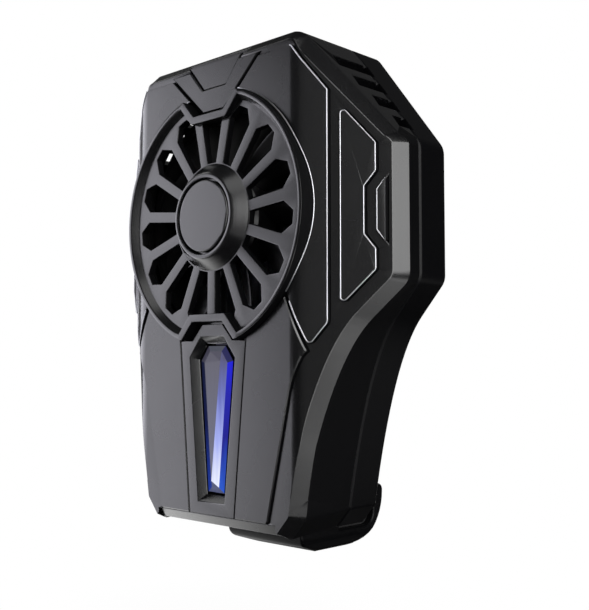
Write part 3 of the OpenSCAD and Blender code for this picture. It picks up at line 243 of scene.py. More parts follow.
@dataclass(frozen=True)
class BareMetal:
    """Bare metal with fine marks along one axis, as rolling, extruding or turning leaves them.

    To the eye it is a bright surface whose highlights stretch across the marks.
    """

    name: str
    colour: str
    roughness: float
    stretch: Triple = (1.0, 1.0, 1.0)
    mark: float = 0.3 * MM
    mark_depth: float = 0.006 * MM
    mark_strength: float = 0.4
    unevenness: float = 0.2

    def material(self) -> bpy.types.Material:
        """Builds the node material."""
        material = new_material(self.name)
        tree = material.node_tree
        place = add_node(tree, "ShaderNodeTexCoord")
        turned = add_node(tree, "ShaderNodeMapping", {"Scale": self.stretch},
                          {"Vector": place.outputs["Object"]})
        # Real marks are about 0.02 mm wide; they are drawn coarser so that they show.
        marks = add_node(tree, "ShaderNodeTexNoise", {"Scale": 1 / self.mark, "Detail": 4.0},
                         {"Vector": turned.outputs["Vector"]})
        bump = add_node(tree, "ShaderNodeBump", {
            "Strength": self.mark_strength, "Distance": self.mark_depth,
        }, {"Height": marks.outputs["Fac"]})
        sheen = add_range(tree, marks.outputs["Fac"], (0.0, 1.0), (
            self.roughness * (1 - self.unevenness), self.roughness * (1 + self.unevenness)))
        shader = add_node(tree, "ShaderNodeBsdfPrincipled", {
            "Base Color": linear(self.colour), "Metallic": 1.0,
        }, {"Roughness": sheen, "Normal": bump.outputs["Normal"]})
        add_node(tree, "ShaderNodeOutputMaterial", links={"Surface": shader.outputs["BSDF"]})
        return material


@dataclass(frozen=True)
class LitAcrylic:
    """Tinted acrylic crystal that glows, brighter low down, with painted light and shade on its facets.

    To the eye it is a glossy stone with a dull left face, a glowing right face and deep blue edges;
    these differences between the facets are painted shade and painted reflection.
    """

    name: str
    # Glow colours per facet from top to foot: the dull left side is painted shade, the bright right side
    # painted reflection, and crown and heel paint the end facets.
    left_face: tuple[str, ...] = ("#3a3844", "#434458", "#484a68")
    right_face: tuple[str, ...] = ("#56546c", "#7078c0", "#a8b2f4", "#eef2ff")
    left_edge: tuple[str, ...] = ("#10142c", "#0c1440", "#1a3490")
    right_edge: tuple[str, ...] = ("#2020e0", "#2424a8", "#20208c", "#2c58c8")
    crown: tuple[str, ...] = ("#34468c", "#4c4e56", "#2c2c54")
    crown_steps: tuple[float, ...] = (0.0, 0.38, 0.62)
    heel: str = "#4a5070"
    body: str = "#0a0b18"
    roughness: float = 0.25
    specular: float = 0.12
    ior: float = 1.49
    top: float = -21 * MM
    foot: float = -42 * MM
    line_gap: float = 0.5 * MM
    line_stretch: float = 0.04
    line_sway: float = 2.2 * MM
    edge_tilt: float = 0.3
    end_tilt: float = 0.25
    wall_tilt: float = -0.3

    @staticmethod
    def ramp(
        tree: bpy.types.NodeTree,
        share: bpy.types.NodeSocket,
        places: tuple[float, ...],
        shades: tuple[str, ...],
        blend: str = "LINEAR",
    ) -> bpy.types.NodeSocket:
        """Adds a colour ramp.

        Args:
            tree: Node tree of the material.
            share: Socket with the place on the ramp, from 0 to 1.
            places: Place of each shade, in rising order.
            shades: Hex colours of the shades.
            blend: How one shade goes over into the next.

        Returns:
            The socket with the colour.
        """
        node = add_node(tree, "ShaderNodeValToRGB", links={"Fac": share})
        node.color_ramp.interpolation = blend
        stops = node.color_ramp.elements
        stops[0].color = linear(shades[0])
        stops[1].position, stops[1].color = places[-1], linear(shades[-1])
        for place, shade in list(zip(places, shades))[1:-1]:
            stops.new(place).color = linear(shade)
        return node.outputs["Color"]

    def glow(self, tree: bpy.types.NodeTree, place: bpy.types.Node) -> bpy.types.NodeSocket:
        """Works out the colour of the crystal's glow, with painted shade and reflection facet by facet.

        Args:
            tree: Node tree of the material.
            place: Node with the object's coordinates and normals.

        Returns:
            The socket with the colour.
        """
        spot = add_node(tree, "ShaderNodeSeparateXYZ", links={"Vector": place.outputs["Object"]})
        facing = add_node(tree, "ShaderNodeSeparateXYZ", links={"Vector": place.outputs["Normal"]})
        # The moulded prism lines behind the face are about 0.5 mm apart and run down the strip.
        drawn = add_node(tree, "ShaderNodeMapping", {"Scale": (1.0, 1.0, self.line_stretch)},
                         {"Vector": place.outputs["Object"]})
        lines = add_node(tree, "ShaderNodeTexNoise", {"Scale": 1 / self.line_gap, "Detail": 1.0},
                         {"Vector": drawn.outputs["Vector"]})
        streak = add_range(tree, lines.outputs["Fac"], (0.0, 1.0), (-self.line_sway, self.line_sway))
        height = add_math(tree, "ADD", spot.outputs["Z"], streak)
        fall = add_range(tree, height, (self.top, self.foot))

        def by_height(shades: tuple[str, ...]) -> bpy.types.NodeSocket:
            """Lays shades down the strip at even distances."""
            return self.ramp(tree, fall, tuple(k / (len(shades) - 1) for k in range(len(shades))), shades)

        # Each facet takes its shades by its normal: painted shade on the left, painted reflection on the
        # right and on the ends.
        light = by_height(self.left_edge)
        for tilt, shades in ((-self.edge_tilt, self.left_face), (0.0, self.right_face),
                             (self.edge_tilt, self.right_edge)):
            over = add_math(tree, "GREATER_THAN", facing.outputs["X"], tilt)
            light = add_blend(tree, over, light, by_height(shades))
        across = add_range(tree, facing.outputs["X"], (-1.0, 1.0))
        crown = self.ramp(tree, across, self.crown_steps, self.crown, "CONSTANT")
        up = add_math(tree, "GREATER_THAN", facing.outputs["Z"], self.end_tilt)
        light = add_blend(tree, up, light, crown)
        down = add_math(tree, "LESS_THAN", facing.outputs["Z"], -self.end_tilt)
        light = add_blend(tree, down, light, linear(self.heel))
        # Painted shade: the walls that sit in the frame stay black and draw a dark line round the stone.
        wall = add_math(tree, "GREATER_THAN", facing.outputs["Y"], self.wall_tilt)
        return add_blend(tree, wall, light, linear(BLACK))

    def material(self) -> bpy.types.Material:
        """Builds the node material."""
        material = new_material(self.name)
        tree = material.node_tree
        light = self.glow(tree, add_node(tree, "ShaderNodeTexCoord"))
        shader = add_node(tree, "ShaderNodeBsdfPrincipled", {
            "Base Color": linear(self.body), "Roughness": self.roughness, "IOR": self.ior,
            "Specular IOR Level": self.specular, "Emission Strength": 1.0,
        }, {"Emission Color": light})
        add_node(tree, "ShaderNodeOutputMaterial", links={"Surface": shader.outputs["BSDF"]})
        return material


@dataclass(frozen=True)
class StudioPaper:
    """White paper under the object.

    To the eye it is plain white with a soft shadow. In the plastic's gloss it is a dim room with a
    bright field on either side, as far as the object's faces need one.
    """

    name: str = "paper_white"
    shadow: tuple[float, float] = (40 * MM, 100 * MM)
    shadow_share: float = 0.9
    lane_x: float = 30 * MM
    lane: tuple[float, float] = (42 * MM, 100 * MM)
    field_level: float = 3.3
    band_y: float = -10 * MM
    band: tuple[float, float] = (30 * MM, 50 * MM)
    outskirts: tuple[float, float] = (115 * MM, 150 * MM)
    patch_at: Triple = (16 * MM, 32 * MM, 0.0)
    patch: tuple[float, float] = (12 * MM, 22 * MM)
    patch_level: float = 0.12
    end: float = 170 * MM

    def gloss(
        self, tree: bpy.types.NodeTree, place: bpy.types.Node, reach: bpy.types.NodeSocket,
    ) -> bpy.types.NodeSocket:
        """Works out how bright the paper is where the plastic mirrors it.

        Args:
            tree: Node tree of the material.
            place: Node with the object's coordinates.
            reach: Socket with the distance from the paper's middle.

        Returns:
            The socket with the brightness.
        """
        spot = add_node(tree, "ShaderNodeSeparateXYZ", links={"Vector": place.outputs["Object"]})
        aside = add_math(tree, "ABSOLUTE", add_math(tree, "SUBTRACT", spot.outputs["X"], self.lane_x))
        open_x = add_range(tree, aside, self.lane, (ROOM_LEVEL, self.field_level))
        ahead = add_math(tree, "ABSOLUTE", add_math(tree, "SUBTRACT", spot.outputs["Y"], self.band_y))
        open_y = add_math(tree, "MAXIMUM", add_range(tree, ahead, self.band, (1.0, 0.0)),
                          add_range(tree, reach, self.outskirts))
        under = add_node(tree, "ShaderNodeVectorMath", {1: self.patch_at}, {0: place.outputs["Object"]},
                         operation="DISTANCE").outputs["Value"]
        patch = add_range(tree, under, self.patch, (self.patch_level, 0.0))
        return add_math(tree, "MAXIMUM", add_math(tree, "MULTIPLY", open_x, open_y), patch)

    def material(self) -> bpy.types.Material:
        """Builds the node material."""
        material = new_material(self.name)
        tree = material.node_tree
        ray = add_node(tree, "ShaderNodeLightPath")
        place = add_node(tree, "ShaderNodeTexCoord")
        reach = add_node(tree, "ShaderNodeVectorMath", links={0: place.outputs["Object"]},
                         operation="LENGTH").outputs["Value"]
        # Seen directly, the paper gives its own white; near the object part of it takes the shadow.
        paper = add_node(tree, "ShaderNodeBsdfDiffuse", {"Color": linear(WHITE)})
        glow = add_node(tree, "ShaderNodeEmission", {"Color": linear(WHITE), "Strength": 1.0})
        lit = add_math(tree, "MULTIPLY", ray.outputs["Is Camera Ray"],
                       add_range(tree, reach, self.shadow, (self.shadow_share, 1.0)))
        seen = add_node(tree, "ShaderNodeMixShader", links={
            0: lit, 1: paper.outputs["BSDF"], 2: glow.outputs["Emission"]})
        mirrored = add_node(tree, "ShaderNodeEmission", {"Color": linear(WHITE)},
                            {"Strength": self.gloss(tree, place, reach)})
        sheet = add_node(tree, "ShaderNodeMixShader", links={
            0: ray.outputs["Is Glossy Ray"], 1: seen.outputs["Shader"], 2: mirrored.outputs["Emission"]})
        # For the gloss the paper ends early, and from below it isn't there at all.
        clear = add_node(tree, "ShaderNodeBsdfTransparent")
        side = add_node(tree, "ShaderNodeNewGeometry")
        past = add_math(tree, "MULTIPLY", add_math(tree, "GREATER_THAN", reach, self.end),
                        ray.outputs["Is Glossy Ray"])
        absent = add_math(tree, "MAXIMUM", past, side.outputs["Backfacing"])
        surface = add_node(tree, "ShaderNodeMixShader", links={
            0: absent, 1: sheet.outputs["Shader"], 2: clear.outputs["BSDF"]})
        add_node(tree, "ShaderNodeOutputMaterial", links={"Surface": surface.outputs["Shader"]})
        return material


def anywhere(middle: Vector) -> bool:
    """Tells that every place counts."""
    return True


def nowhere(middle: Vector) -> bool:
    """Tells that no place counts."""
    return False


def at_ring_or_fold(middle: Vector) -> bool:
    """Tells whether a place is on an upper plate's ring cut-out or on its outer side edge."""
    ring_radius, fold_x = 20.6 * MM, 16.5 * MM
    return math.hypot(middle.x, middle.z) < ring_radius or abs(middle.x) > fold_x


def in_seat(middle: Vector) -> bool:
    """Tells whether a place is on a seat's wall or on the lower side wall of the front housing."""
    brow_z, seat_x, seat_depth = 11 * MM, 27.5 * MM, 5 * MM
    return middle.z < brow_z or abs(middle.x) < seat_x and middle.y < FRONT_Y + seat_depth


def at_parting(middle: Vector) -> bool:
    """Tells whether a place is on the parting line of the two housings."""
    return abs(middle.y - PARTING_Y) < TOUCH


def at_frame_edge(middle: Vector) -> bool:
    """Tells whether a place is on the long right edge of the light frame."""
    foot_z, length, foot_x, flare, slack = -46.2 * MM, 26.8 * MM, 4.85 * MM, 2.45 * MM, 0.01
    share = (middle.z - foot_z) / length
    return -slack < share < 1 + slack and middle.x > foot_x + flare * share


def at_toe(middle: Vector) -> bool:
    """Tells whether a place is at the thin toe of the foot, where an edge has no room for a cut."""
    toe_z, toe_x = -43 * MM, 13 * MM
    return middle.z < toe_z and abs(middle.x) > toe_x


def at_toe_or_parting(middle: Vector) -> bool:
    """Tells whether a place is at the foot's toe or on the parting line."""
    return at_toe(middle) or at_parting(middle)


class Bench:
    """Edit-mode steps that act on one piece at a time."""

    # Points closer than the weld become one, and faces that turn by less than flat_turn degrees too.
    weld: float = 0.002 * MM
    flat_turn: float = 0.3
    # A bead runs where a face that looks forward meets a wall, told by the Y of their normals.
    bead_front: float = -0.5
    bead_wall: float = 0.4
    bead_turn: float = 60.0
    bead_sides: int = 2
    # Large faces alone decide how a rounding is shaded.
    face_weight: int = 100

    @staticmethod
    def clear() -> None:
        """Deselects every object."""
        for other in bpy.context.selected_objects:
            other.select_set(False)

    @staticmethod
    def only(piece: bpy.types.Object) -> None:
        """Selects one piece alone and makes it active."""
        Bench.clear()
        piece.select_set(True)
        bpy.context.view_layer.objects.active = piece

    @staticmethod
    def pick(piece: bpy.types.Object, element: Element, test: Callable[[Vector, Vector], bool]) -> None:
        """Opens a piece in edit mode with some of its elements selected.

        Args:
            piece: The piece to edit.
            element: Kind of element to select.
            test: Takes an element's middle and its normal, or an edge's direction.
        """
        Bench.only(piece)
        bpy.ops.object.mode_set(mode="EDIT")
        bpy.context.tool_settings.mesh_select_mode = element.value
        bpy.ops.mesh.select_all(action="DESELECT")
        bpy.ops.object.mode_set(mode="OBJECT")
        mesh = piece.data
        if element is Element.FACE:
            rows = [(p, p.center, p.normal) for p in mesh.polygons]
        elif element is Element.VERTEX:
            rows = [(v, v.co, v.normal) for v in mesh.vertices]
        else:
            ends = [[mesh.vertices[i].co for i in e.vertices] for e in mesh.edges]
            rows = [(e, (a + b) / 2, (b - a).normalized()) for e, (a, b) in zip(mesh.edges, ends)]
        for item, middle, way in rows:
            item.select = test(middle, way)
        bpy.ops.object.mode_set(mode="EDIT")

    @staticmethod
    def pick_edges(piece: bpy.types.Object, edges: Iterable[int]) -> None:
        """Opens a piece in edit mode with the edges of these indices selected."""
        Bench.pick(piece, Element.EDGE, lambda middle, way: False)
        Bench.done()
        for edge in edges:
            piece.data.edges[edge].select = True
        bpy.ops.object.mode_set(mode="EDIT")

    @staticmethod
    def edge_middle(piece: bpy.types.Object, edge: int) -> Vector:
        """Gives the middle of the edge with this index."""
        first, last = [piece.data.vertices[i].co for i in piece.data.edges[edge].vertices]
        return (first + last) / 2

    @staticmethod
    def done() -> None:
        """Leaves edit mode."""
        bpy.ops.object.mode_set(mode="OBJECT")

    @staticmethod
    def cad_copy(node: str, name: str) -> bpy.types.Object:
        """Copies a CAD node's mesh into a new piece and joins its loose triangles into clean faces.

        Args:
            node: Name of the CAD node.
            name: Name of the new piece.

        Returns:
            The new piece, at the origin.
        """
        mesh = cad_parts[node].data.copy()
        mesh.name = name
        mesh.materials.clear()
        piece = bpy.data.objects.new(name, mesh)
        bpy.context.scene.collection.objects.link(piece)
        Bench.pick(piece, Element.VERTEX, lambda middle, way: True)
        bpy.ops.mesh.select_all(action="SELECT")
        bpy.ops.mesh.customdata_custom_splitnormals_clear()
        bpy.ops.mesh.remove_doubles(threshold=Bench.weld)
        bpy.ops.mesh.dissolve_limited(angle_limit=math.radians(Bench.flat_turn))
        bpy.ops.mesh.quads_convert_to_tris(quad_method="BEAUTY", ngon_method="BEAUTY")
        Bench.done()
        return piece

    @staticmethod
    def corners(piece: bpy.types.Object) -> dict[int, list[bpy.types.MeshPolygon]]:
        """Finds a piece's outer edges, those that a hand can feel.

        Args:
            piece: The piece to look at.

        Returns:
            Index of each such edge, with the two faces that meet there.
        """
        mesh = piece.data
        sides: dict[int, list[bpy.types.MeshPolygon]] = {}
        for face in mesh.polygons:
            for loop in face.loop_indices:
                sides.setdefault(mesh.loops[loop].edge_index, []).append(face)
        limit = math.cos(math.radians(SHARP_TURN))
        return {edge: faces for edge, faces in sides.items() if len(faces) == 2
                and faces[0].normal.dot(faces[1].normal) < limit
                and faces[0].normal.dot(faces[1].center - faces[0].center) < 0}

    @staticmethod
    def bead(piece: bpy.types.Object, radius: float, along: Test) -> bpy.types.Object:
        """Draws a thin round bead along the front edges of a plate.

        Args:
            piece: The plate, before its edges are cut.
            radius: Radius of the bead.
            along: Takes an edge's middle and tells whether the bead runs there.

        Returns:
            The bead, as a mesh of its own.
        """
        front = []
        for edge, faces in Bench.corners(piece).items():
            low, high = sorted(face.normal.y for face in faces)
            rim = low < Bench.bead_front and abs(high) < Bench.bead_wall
            if rim and along(Bench.edge_middle(piece, edge)):
                front.append(edge)
        Bench.pick_edges(piece, front)
        bpy.ops.mesh.duplicate()
        bpy.ops.mesh.separate(type="SELECTED")
        Bench.done()
        wire = next(other for other in bpy.context.selected_objects if other != piece)
        Bench.only(wire)
        bpy.ops.object.convert(target="CURVE")
        wire.data.bevel_depth = radius
        wire.data.bevel_resolution = Bench.bead_sides
        wire.data.use_fill_caps = True
        bpy.ops.object.convert(target="MESH")
        bpy.ops.object.shade_smooth_by_angle(angle=math.radians(Bench.bead_turn))
        return wire

    @staticmethod
    def join(piece: bpy.types.Object, other: bpy.types.Object) -> None:
        """Joins another mesh to a piece."""
        Bench.only(piece)
        other.select_set(True)
        bpy.ops.object.join()

    @staticmethod
    def soften(
        piece: bpy.types.Object,
        width: float,
        segments: int,
        smooth: float = 30.0,
        spare: Test = nowhere,
    ) -> None:
        """Cuts a piece's outer edges back and shades it so that flat faces stay flat.

        Args:
            piece: The piece to finish.
            width: Width of the cut along each face, 0 for none.
            segments: Steps of the cut: 1 is a flat chamfer, more is a rounding.
            smooth: Edges that turn by less than this many degrees are shaded smooth.
            spare: Takes an edge's middle and tells whether the edge stays as it is.
        """
        if width:
            outer = [edge for edge in Bench.corners(piece) if not spare(Bench.edge_middle(piece, edge))]
            Bench.pick_edges(piece, outer)
            bpy.ops.mesh.bevel(offset=width, segments=segments, affect="EDGES", clamp_overlap=False,
                               loop_slide=False, miter_outer="SHARP")
            Bench.done()
        Bench.only(piece)
        bpy.ops.object.shade_smooth_by_angle(angle=math.radians(smooth))
        weighted = piece.modifiers.new("flat", "WEIGHTED_NORMAL")
        weighted.keep_sharp = True
        weighted.weight = Bench.face_weight
        bpy.ops.object.modifier_apply(modifier=weighted.name)


@dataclass(frozen=True)
class Cut:
    """How one CAD node is carried over into a dressed piece.

    A bead is a silver line along the front edges, walls are near-black and matt as painted shade,
    the back has a finish of its own, and shrink and widen open or close the seam round the piece.
    """

    node: str
    piece: str
    finish: str
    slot: str
    edge: float = 0.1 * MM
    segments: int = 2
    body: Body = Body.HOUSING
    spare: Test = nowhere
    bead: Test | None = None
    # Which walls get painted shade, a near-black matt finish.
    walls: Test | None = None
    shrink: float = 1.0
    widen: Test | None = None
    back: str = ""


class Finishes:
    """Builds each finish once and hands out its material."""

    def __init__(self) -> None:
        """Builds the materials of all finishes."""
        recipes = [
            # Smooth black moulding with a soft sheen.
            MouldedPlastic("abs_black_satin", "#060607", 0.27),
            # Matt black moulding that hardly mirrors anything.
            MouldedPlastic("abs_black_textured", "#030304", 0.42, specular=0.1),
            # Black moulding with a grain that can be felt and a broad grey sheen.
            MouldedPlastic("abs_black_spark", "#0b0b0c", 0.46, grain=0.4 * MM, grain_depth=0.02 * MM),
            # Painted shade: near-black matt walls in the seams and openings, where shade falls.
            MouldedPlastic("abs_black_painted_shade", "#020203", 0.6, specular=0.1),
            # Dark grey trim plates, smooth and softly lit.
            MouldedPlastic("abs_gunmetal_satin", "#0b0b0c", 0.27),
            # The same grey a little glossier, so that the ring and the hub catch the light.
            MouldedPlastic("abs_gunmetal_grille", "#0a0a0b", 0.22, unevenness=0.03),
            # Dull black fan plastic that stays dark behind the grille.
            MouldedPlastic("pbt_black_fan", "#050506", 0.36),
            # Silver metal of the beads, which show as thin bright lines on the plates' edges.
            BareMetal("silver_edge_bead", "#b4b4b8", 0.36),
            # Soft dull rubber.
            MouldedPlastic("silicone_black", "#141415", 0.7, specular=0.35),
            # Foam without any sheen.
            MouldedPlastic("foam_black", "#101010", 0.9, specular=0.2),
            # Dark green lacquer of a circuit board.
            MouldedPlastic("solder_mask_green", "#0d3a24", 0.4),
            # Chalky white ceramic.
            MouldedPlastic("alumina_white", "#d9d9d2", 0.55),
            # Dull grey-brown magnet.
            MouldedPlastic("ferrite_grey", "#2a2826", 0.6),
            # Red-brown lacquered wire.
            MouldedPlastic("enamelled_copper", "#7a3a18", 0.35),
            # Pale metal with marks along the fins.
            BareMetal("aluminium_extruded", "#c9ccd0", 0.3, stretch=(1.0, 1.0, 0.08)),
            # Pale metal with an even, silky sheen.
            BareMetal("aluminium_bead_blasted", "#cfd2d5", 0.38),
            # Bright cool grey metal.
            BareMetal("steel_zinc_plated", "#b4b6b8", 0.28),
            # Dark grey metal of blackened screws.
            BareMetal("steel_black_zinc", "#56565a", 0.34),
            # Warm dull metal.
            BareMetal("bronze_sintered", "#a8793c", 0.45),
            # Blue stone that glows by itself, with painted shade and reflection on its facets.
            LitAcrylic("acrylic_blue_glow_painted_facets"),
        ]
        self.by_name = {r.name: r.material() for r in recipes}

    def dress(self, piece: bpy.types.Object, finish: str) -> None:
        """Gives a piece or a CAD node one finish."""
        piece.data.materials.clear()
        piece.data.materials.append(self.by_name[finish])

    def add(
        self, piece: bpy.types.Object, finish: str, test: Callable[[bpy.types.MeshPolygon], bool],
    ) -> None:
        """Gives some faces of a piece one more finish.

        Args:
            piece: The piece, dressed already.
            finish: Name of the finish.
            test: Takes a face and tells whether it gets the finish.
        """
        piece.data.materials.append(self.by_name[finish])
        for face in piece.data.polygons:
            if test(face):
                face.material_index = len(piece.data.materials) - 1


@dataclass
class CarriedNodes:
    """CAD nodes whose shape is right: copied, edge-rounded and dressed."""

    cuts: list[Cut] = field(default_factory=lambda: [
        Cut("front_shell", "front_housing", "abs_black_satin", "shell_plastic", 0.1 * MM, walls=in_seat,
            spare=at_toe_or_parting),
        Cut("rear_shell", "rear_housing", "abs_black_textured", "rear_plastic", 0.12 * MM, spare=at_parting,
            back="abs_black_spark"),
        *[Cut(f"upper_panel_{s}", f"upper_plate_{s}", "abs_gunmetal_satin", "panel_plastic", 0.1 * MM, 1,
              bead=at_ring_or_fold, walls=anywhere) for s in ("left", "right")],
        *[Cut(f"lower_panel_{s}", f"lower_plate_{s}", "abs_gunmetal_satin", "panel_plastic", 0.16 * MM, 1,
              walls=anywhere) for s in ("left", "right")],
        Cut("collar_trim", "collar_plate", "abs_gunmetal_satin", "panel_plastic", 0.16 * MM, 1,
            walls=anywhere),
        Cut("top_inset", "top_plate", "abs_gunmetal_satin", "panel_plastic", 0.14 * MM, 1,
            walls=anywhere),
        *[Cut(f"side_panel_{s}", f"side_plate_{s}", "abs_gunmetal_satin", "panel_plastic", 0.1 * MM, 1,
              bead=anywhere, walls=anywhere) for s in ("left", "right")],
        *[Cut(f"side_insert_{s}", f"side_key_{s}", "abs_gunmetal_satin", "panel_plastic", 0.1 * MM, 1,
              bead=anywhere, walls=anywhere) for s in ("left", "right")],
        Cut("fan_grille", "ring_grille", "abs_gunmetal_grille", "grille_plastic", 0.12 * MM, 2,
            walls=anywhere),
        Cut("hub_cap", "hub_disc", "abs_gunmetal_grille", "cap_plastic", 0.06 * MM, 2,
            walls=anywhere, shrink=0.98),
        Cut("light_bezel", "light_frame", "abs_gunmetal_satin", "panel_plastic", 0.1 * MM, 2, walls=anywhere,
            widen=at_frame_edge),
        Cut("fan_rotor", "impeller", "pbt_black_fan", "fan_plastic", 0.0, 1, Body.ROTOR),
        Cut("cold_plate", "cold_block", "aluminium_bead_blasted", "aluminium", 0.2 * MM, 3),
        Cut("upper_hook", "hook_upper", "abs_black_satin", "clamp_plastic", 0.35 * MM, 3),
        Cut("lower_jaw", "jaw_lower", "abs_black_textured", "clamp_plastic", 0.35 * MM, 3, Body.JAW),
    ])
    bead_radius: float = 0.11 * MM
    seam: float = 0.17 * MM
    wall_tilt: float = 0.35
    back_tilt: float = 0.7

    def fit(self, piece: bpy.types.Object, cut: Cut) -> None:
        """Opens or closes the seam round a piece.

        Args:
            piece: The piece, before its edges are cut.
            cut: How the piece is carried over.
        """
        if cut.shrink != 1.0:
            Bench.pick(piece, Element.VERTEX, lambda middle, way: True)
            bpy.ops.transform.resize(value=(cut.shrink, 1.0, cut.shrink), center_override=(0.0, 0.0, 0.0))
            Bench.done()
        if cut.widen:
            Bench.pick(piece, Element.VERTEX, lambda middle, way: cut.widen(middle))
            bpy.ops.transform.translate(value=(self.seam, 0.0, 0.0))
            Bench.done()

    def paint(self, piece: bpy.types.Object, cut: Cut, finishes: Finishes) -> None:
        """Paints the walls of a piece near-black and matt as painted shade, and gives its back a finish of
        its own.

        Args:
            piece: The piece, with its edges cut.
            cut: How the piece is carried over.
            finishes: The materials to choose from.
        """
        if cut.walls:
            # Painted shade: the walls turn near-black and matt.
            finishes.add(piece, "abs_black_painted_shade", lambda face: abs(face.normal.y) < self.wall_tilt
                         and cut.walls(face.center))
        if cut.back:
            finishes.add(piece, cut.back, lambda face: face.normal.y > self.back_tilt)

    def build(self, finishes: Finishes) -> None:
        """Builds and dresses each carried node.

        Args:
            finishes: The materials to choose from.
        """
        for cut in self.cuts:
            piece = Bench.cad_copy(cut.node, cut.piece)
            finishes.dress(piece, cut.finish)
            self.fit(piece, cut)
            wire = Bench.bead(piece, self.bead_radius, cut.bead) if cut.bead else None
            Bench.soften(piece, cut.edge, cut.segments, spare=cut.spare)
            self.paint(piece, cut, finishes)
            if wire:
                finishes.dress(wire, "silver_edge_bead")
                Bench.join(piece, wire)
            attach(piece, cut.body.value)
            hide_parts(cut.node)
            LOG.info("%s stands for %s, %d faces", piece.name, cut.node, len(piece.data.polygons))


@dataclass
class LightCrystal:
    """Faceted crystal of the light strip, with an off-centre ridge."""

    ridge_top: tuple[float, float] = (1.6 * MM, -22.5 * MM)
    ridge_foot: tuple[float, float] = (-0.3 * MM, -41.0 * MM)
    ridge_depth: float = 0.3 * MM
    face_depth: float = 0.65 * MM
    split: float = -30 * MM
    left_top: float = 0.45 * MM
    left_foot: float = 0.55 * MM
    left_side: float = -0.5 * MM
    flange: float = 0.5 * MM
    shrink: Triple = (0.925, 1.0, 0.977)
    facet_turn: float = 3.0
    front_tilt: float = -0.99

    def slim(self, piece: bpy.types.Object) -> None:
        """Makes the stone a little smaller than the frame's opening and moves its left edge in.

        Args:
            piece: The lens, with a flat face.
        """
        low, high = (Vector(corner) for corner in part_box("light_lens"))
        Bench.pick(piece, Element.VERTEX, lambda middle, way: middle.y < high.y - self.flange)
        bpy.ops.transform.resize(value=self.shrink, center_override=(low + high) / 2)
        Bench.done()
        flat = FRONT_Y + self.face_depth
        for shift, above in ((self.left_top, True), (self.left_foot, False)):
            Bench.pick(piece, Element.VERTEX, lambda middle, way: abs(middle.y - flat) < TOUCH
                       and middle.x < self.left_side and (middle.z > self.split) == above)
            bpy.ops.transform.translate(value=(shift, 0.0, 0.0))
            Bench.done()

    def raise_ridge(self, piece: bpy.types.Object) -> None:
        """Raises the flat face to a ridge between two points.

        Args:
            piece: The lens, with a flat face.
        """
        flat, raised = FRONT_Y + self.face_depth, FRONT_Y + self.ridge_depth
        Bench.pick(piece, Element.FACE, lambda middle, way: way.y < self.front_tilt
                   and abs(middle.y - flat) < TOUCH)
        bpy.ops.mesh.extrude_region_move(TRANSFORM_OT_translate={
            "value": (0, self.ridge_depth - self.face_depth, 0)})
        Bench.done()
        for (x, z), above in ((self.ridge_top, True), (self.ridge_foot, False)):

            def on_ridge(middle: Vector) -> bool:
                """Tells whether a point is at this end of the ridge."""
                return abs(middle.y - raised) < TOUCH and (middle.z > self.split) == above

            Bench.pick(piece, Element.VERTEX, lambda middle, way: on_ridge(middle))
            bpy.ops.mesh.merge(type="CENTER")
            Bench.done()
            tip = next(v.co.copy() for v in piece.data.vertices if on_ridge(v.co))
            Bench.pick(piece, Element.VERTEX, lambda middle, way: on_ridge(middle))
            bpy.ops.transform.translate(value=Vector((x, raised, z)) - tip)
            Bench.done()

    def build(self, finishes: Finishes) -> None:
        """Builds and dresses the crystal.

        Args:
            finishes: The materials to choose from.
        """
        piece = Bench.cad_copy("light_lens", "light_crystal")
        self.slim(piece)
        self.raise_ridge(piece)
        Bench.soften(piece, 0.0, 1, smooth=self.facet_turn)
        finishes.dress(piece, "acrylic_blue_glow_painted_facets")
        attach(piece, Body.HOUSING.value)
        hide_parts("light_lens")
        LOG.info("%s stands for light_lens", piece.name)


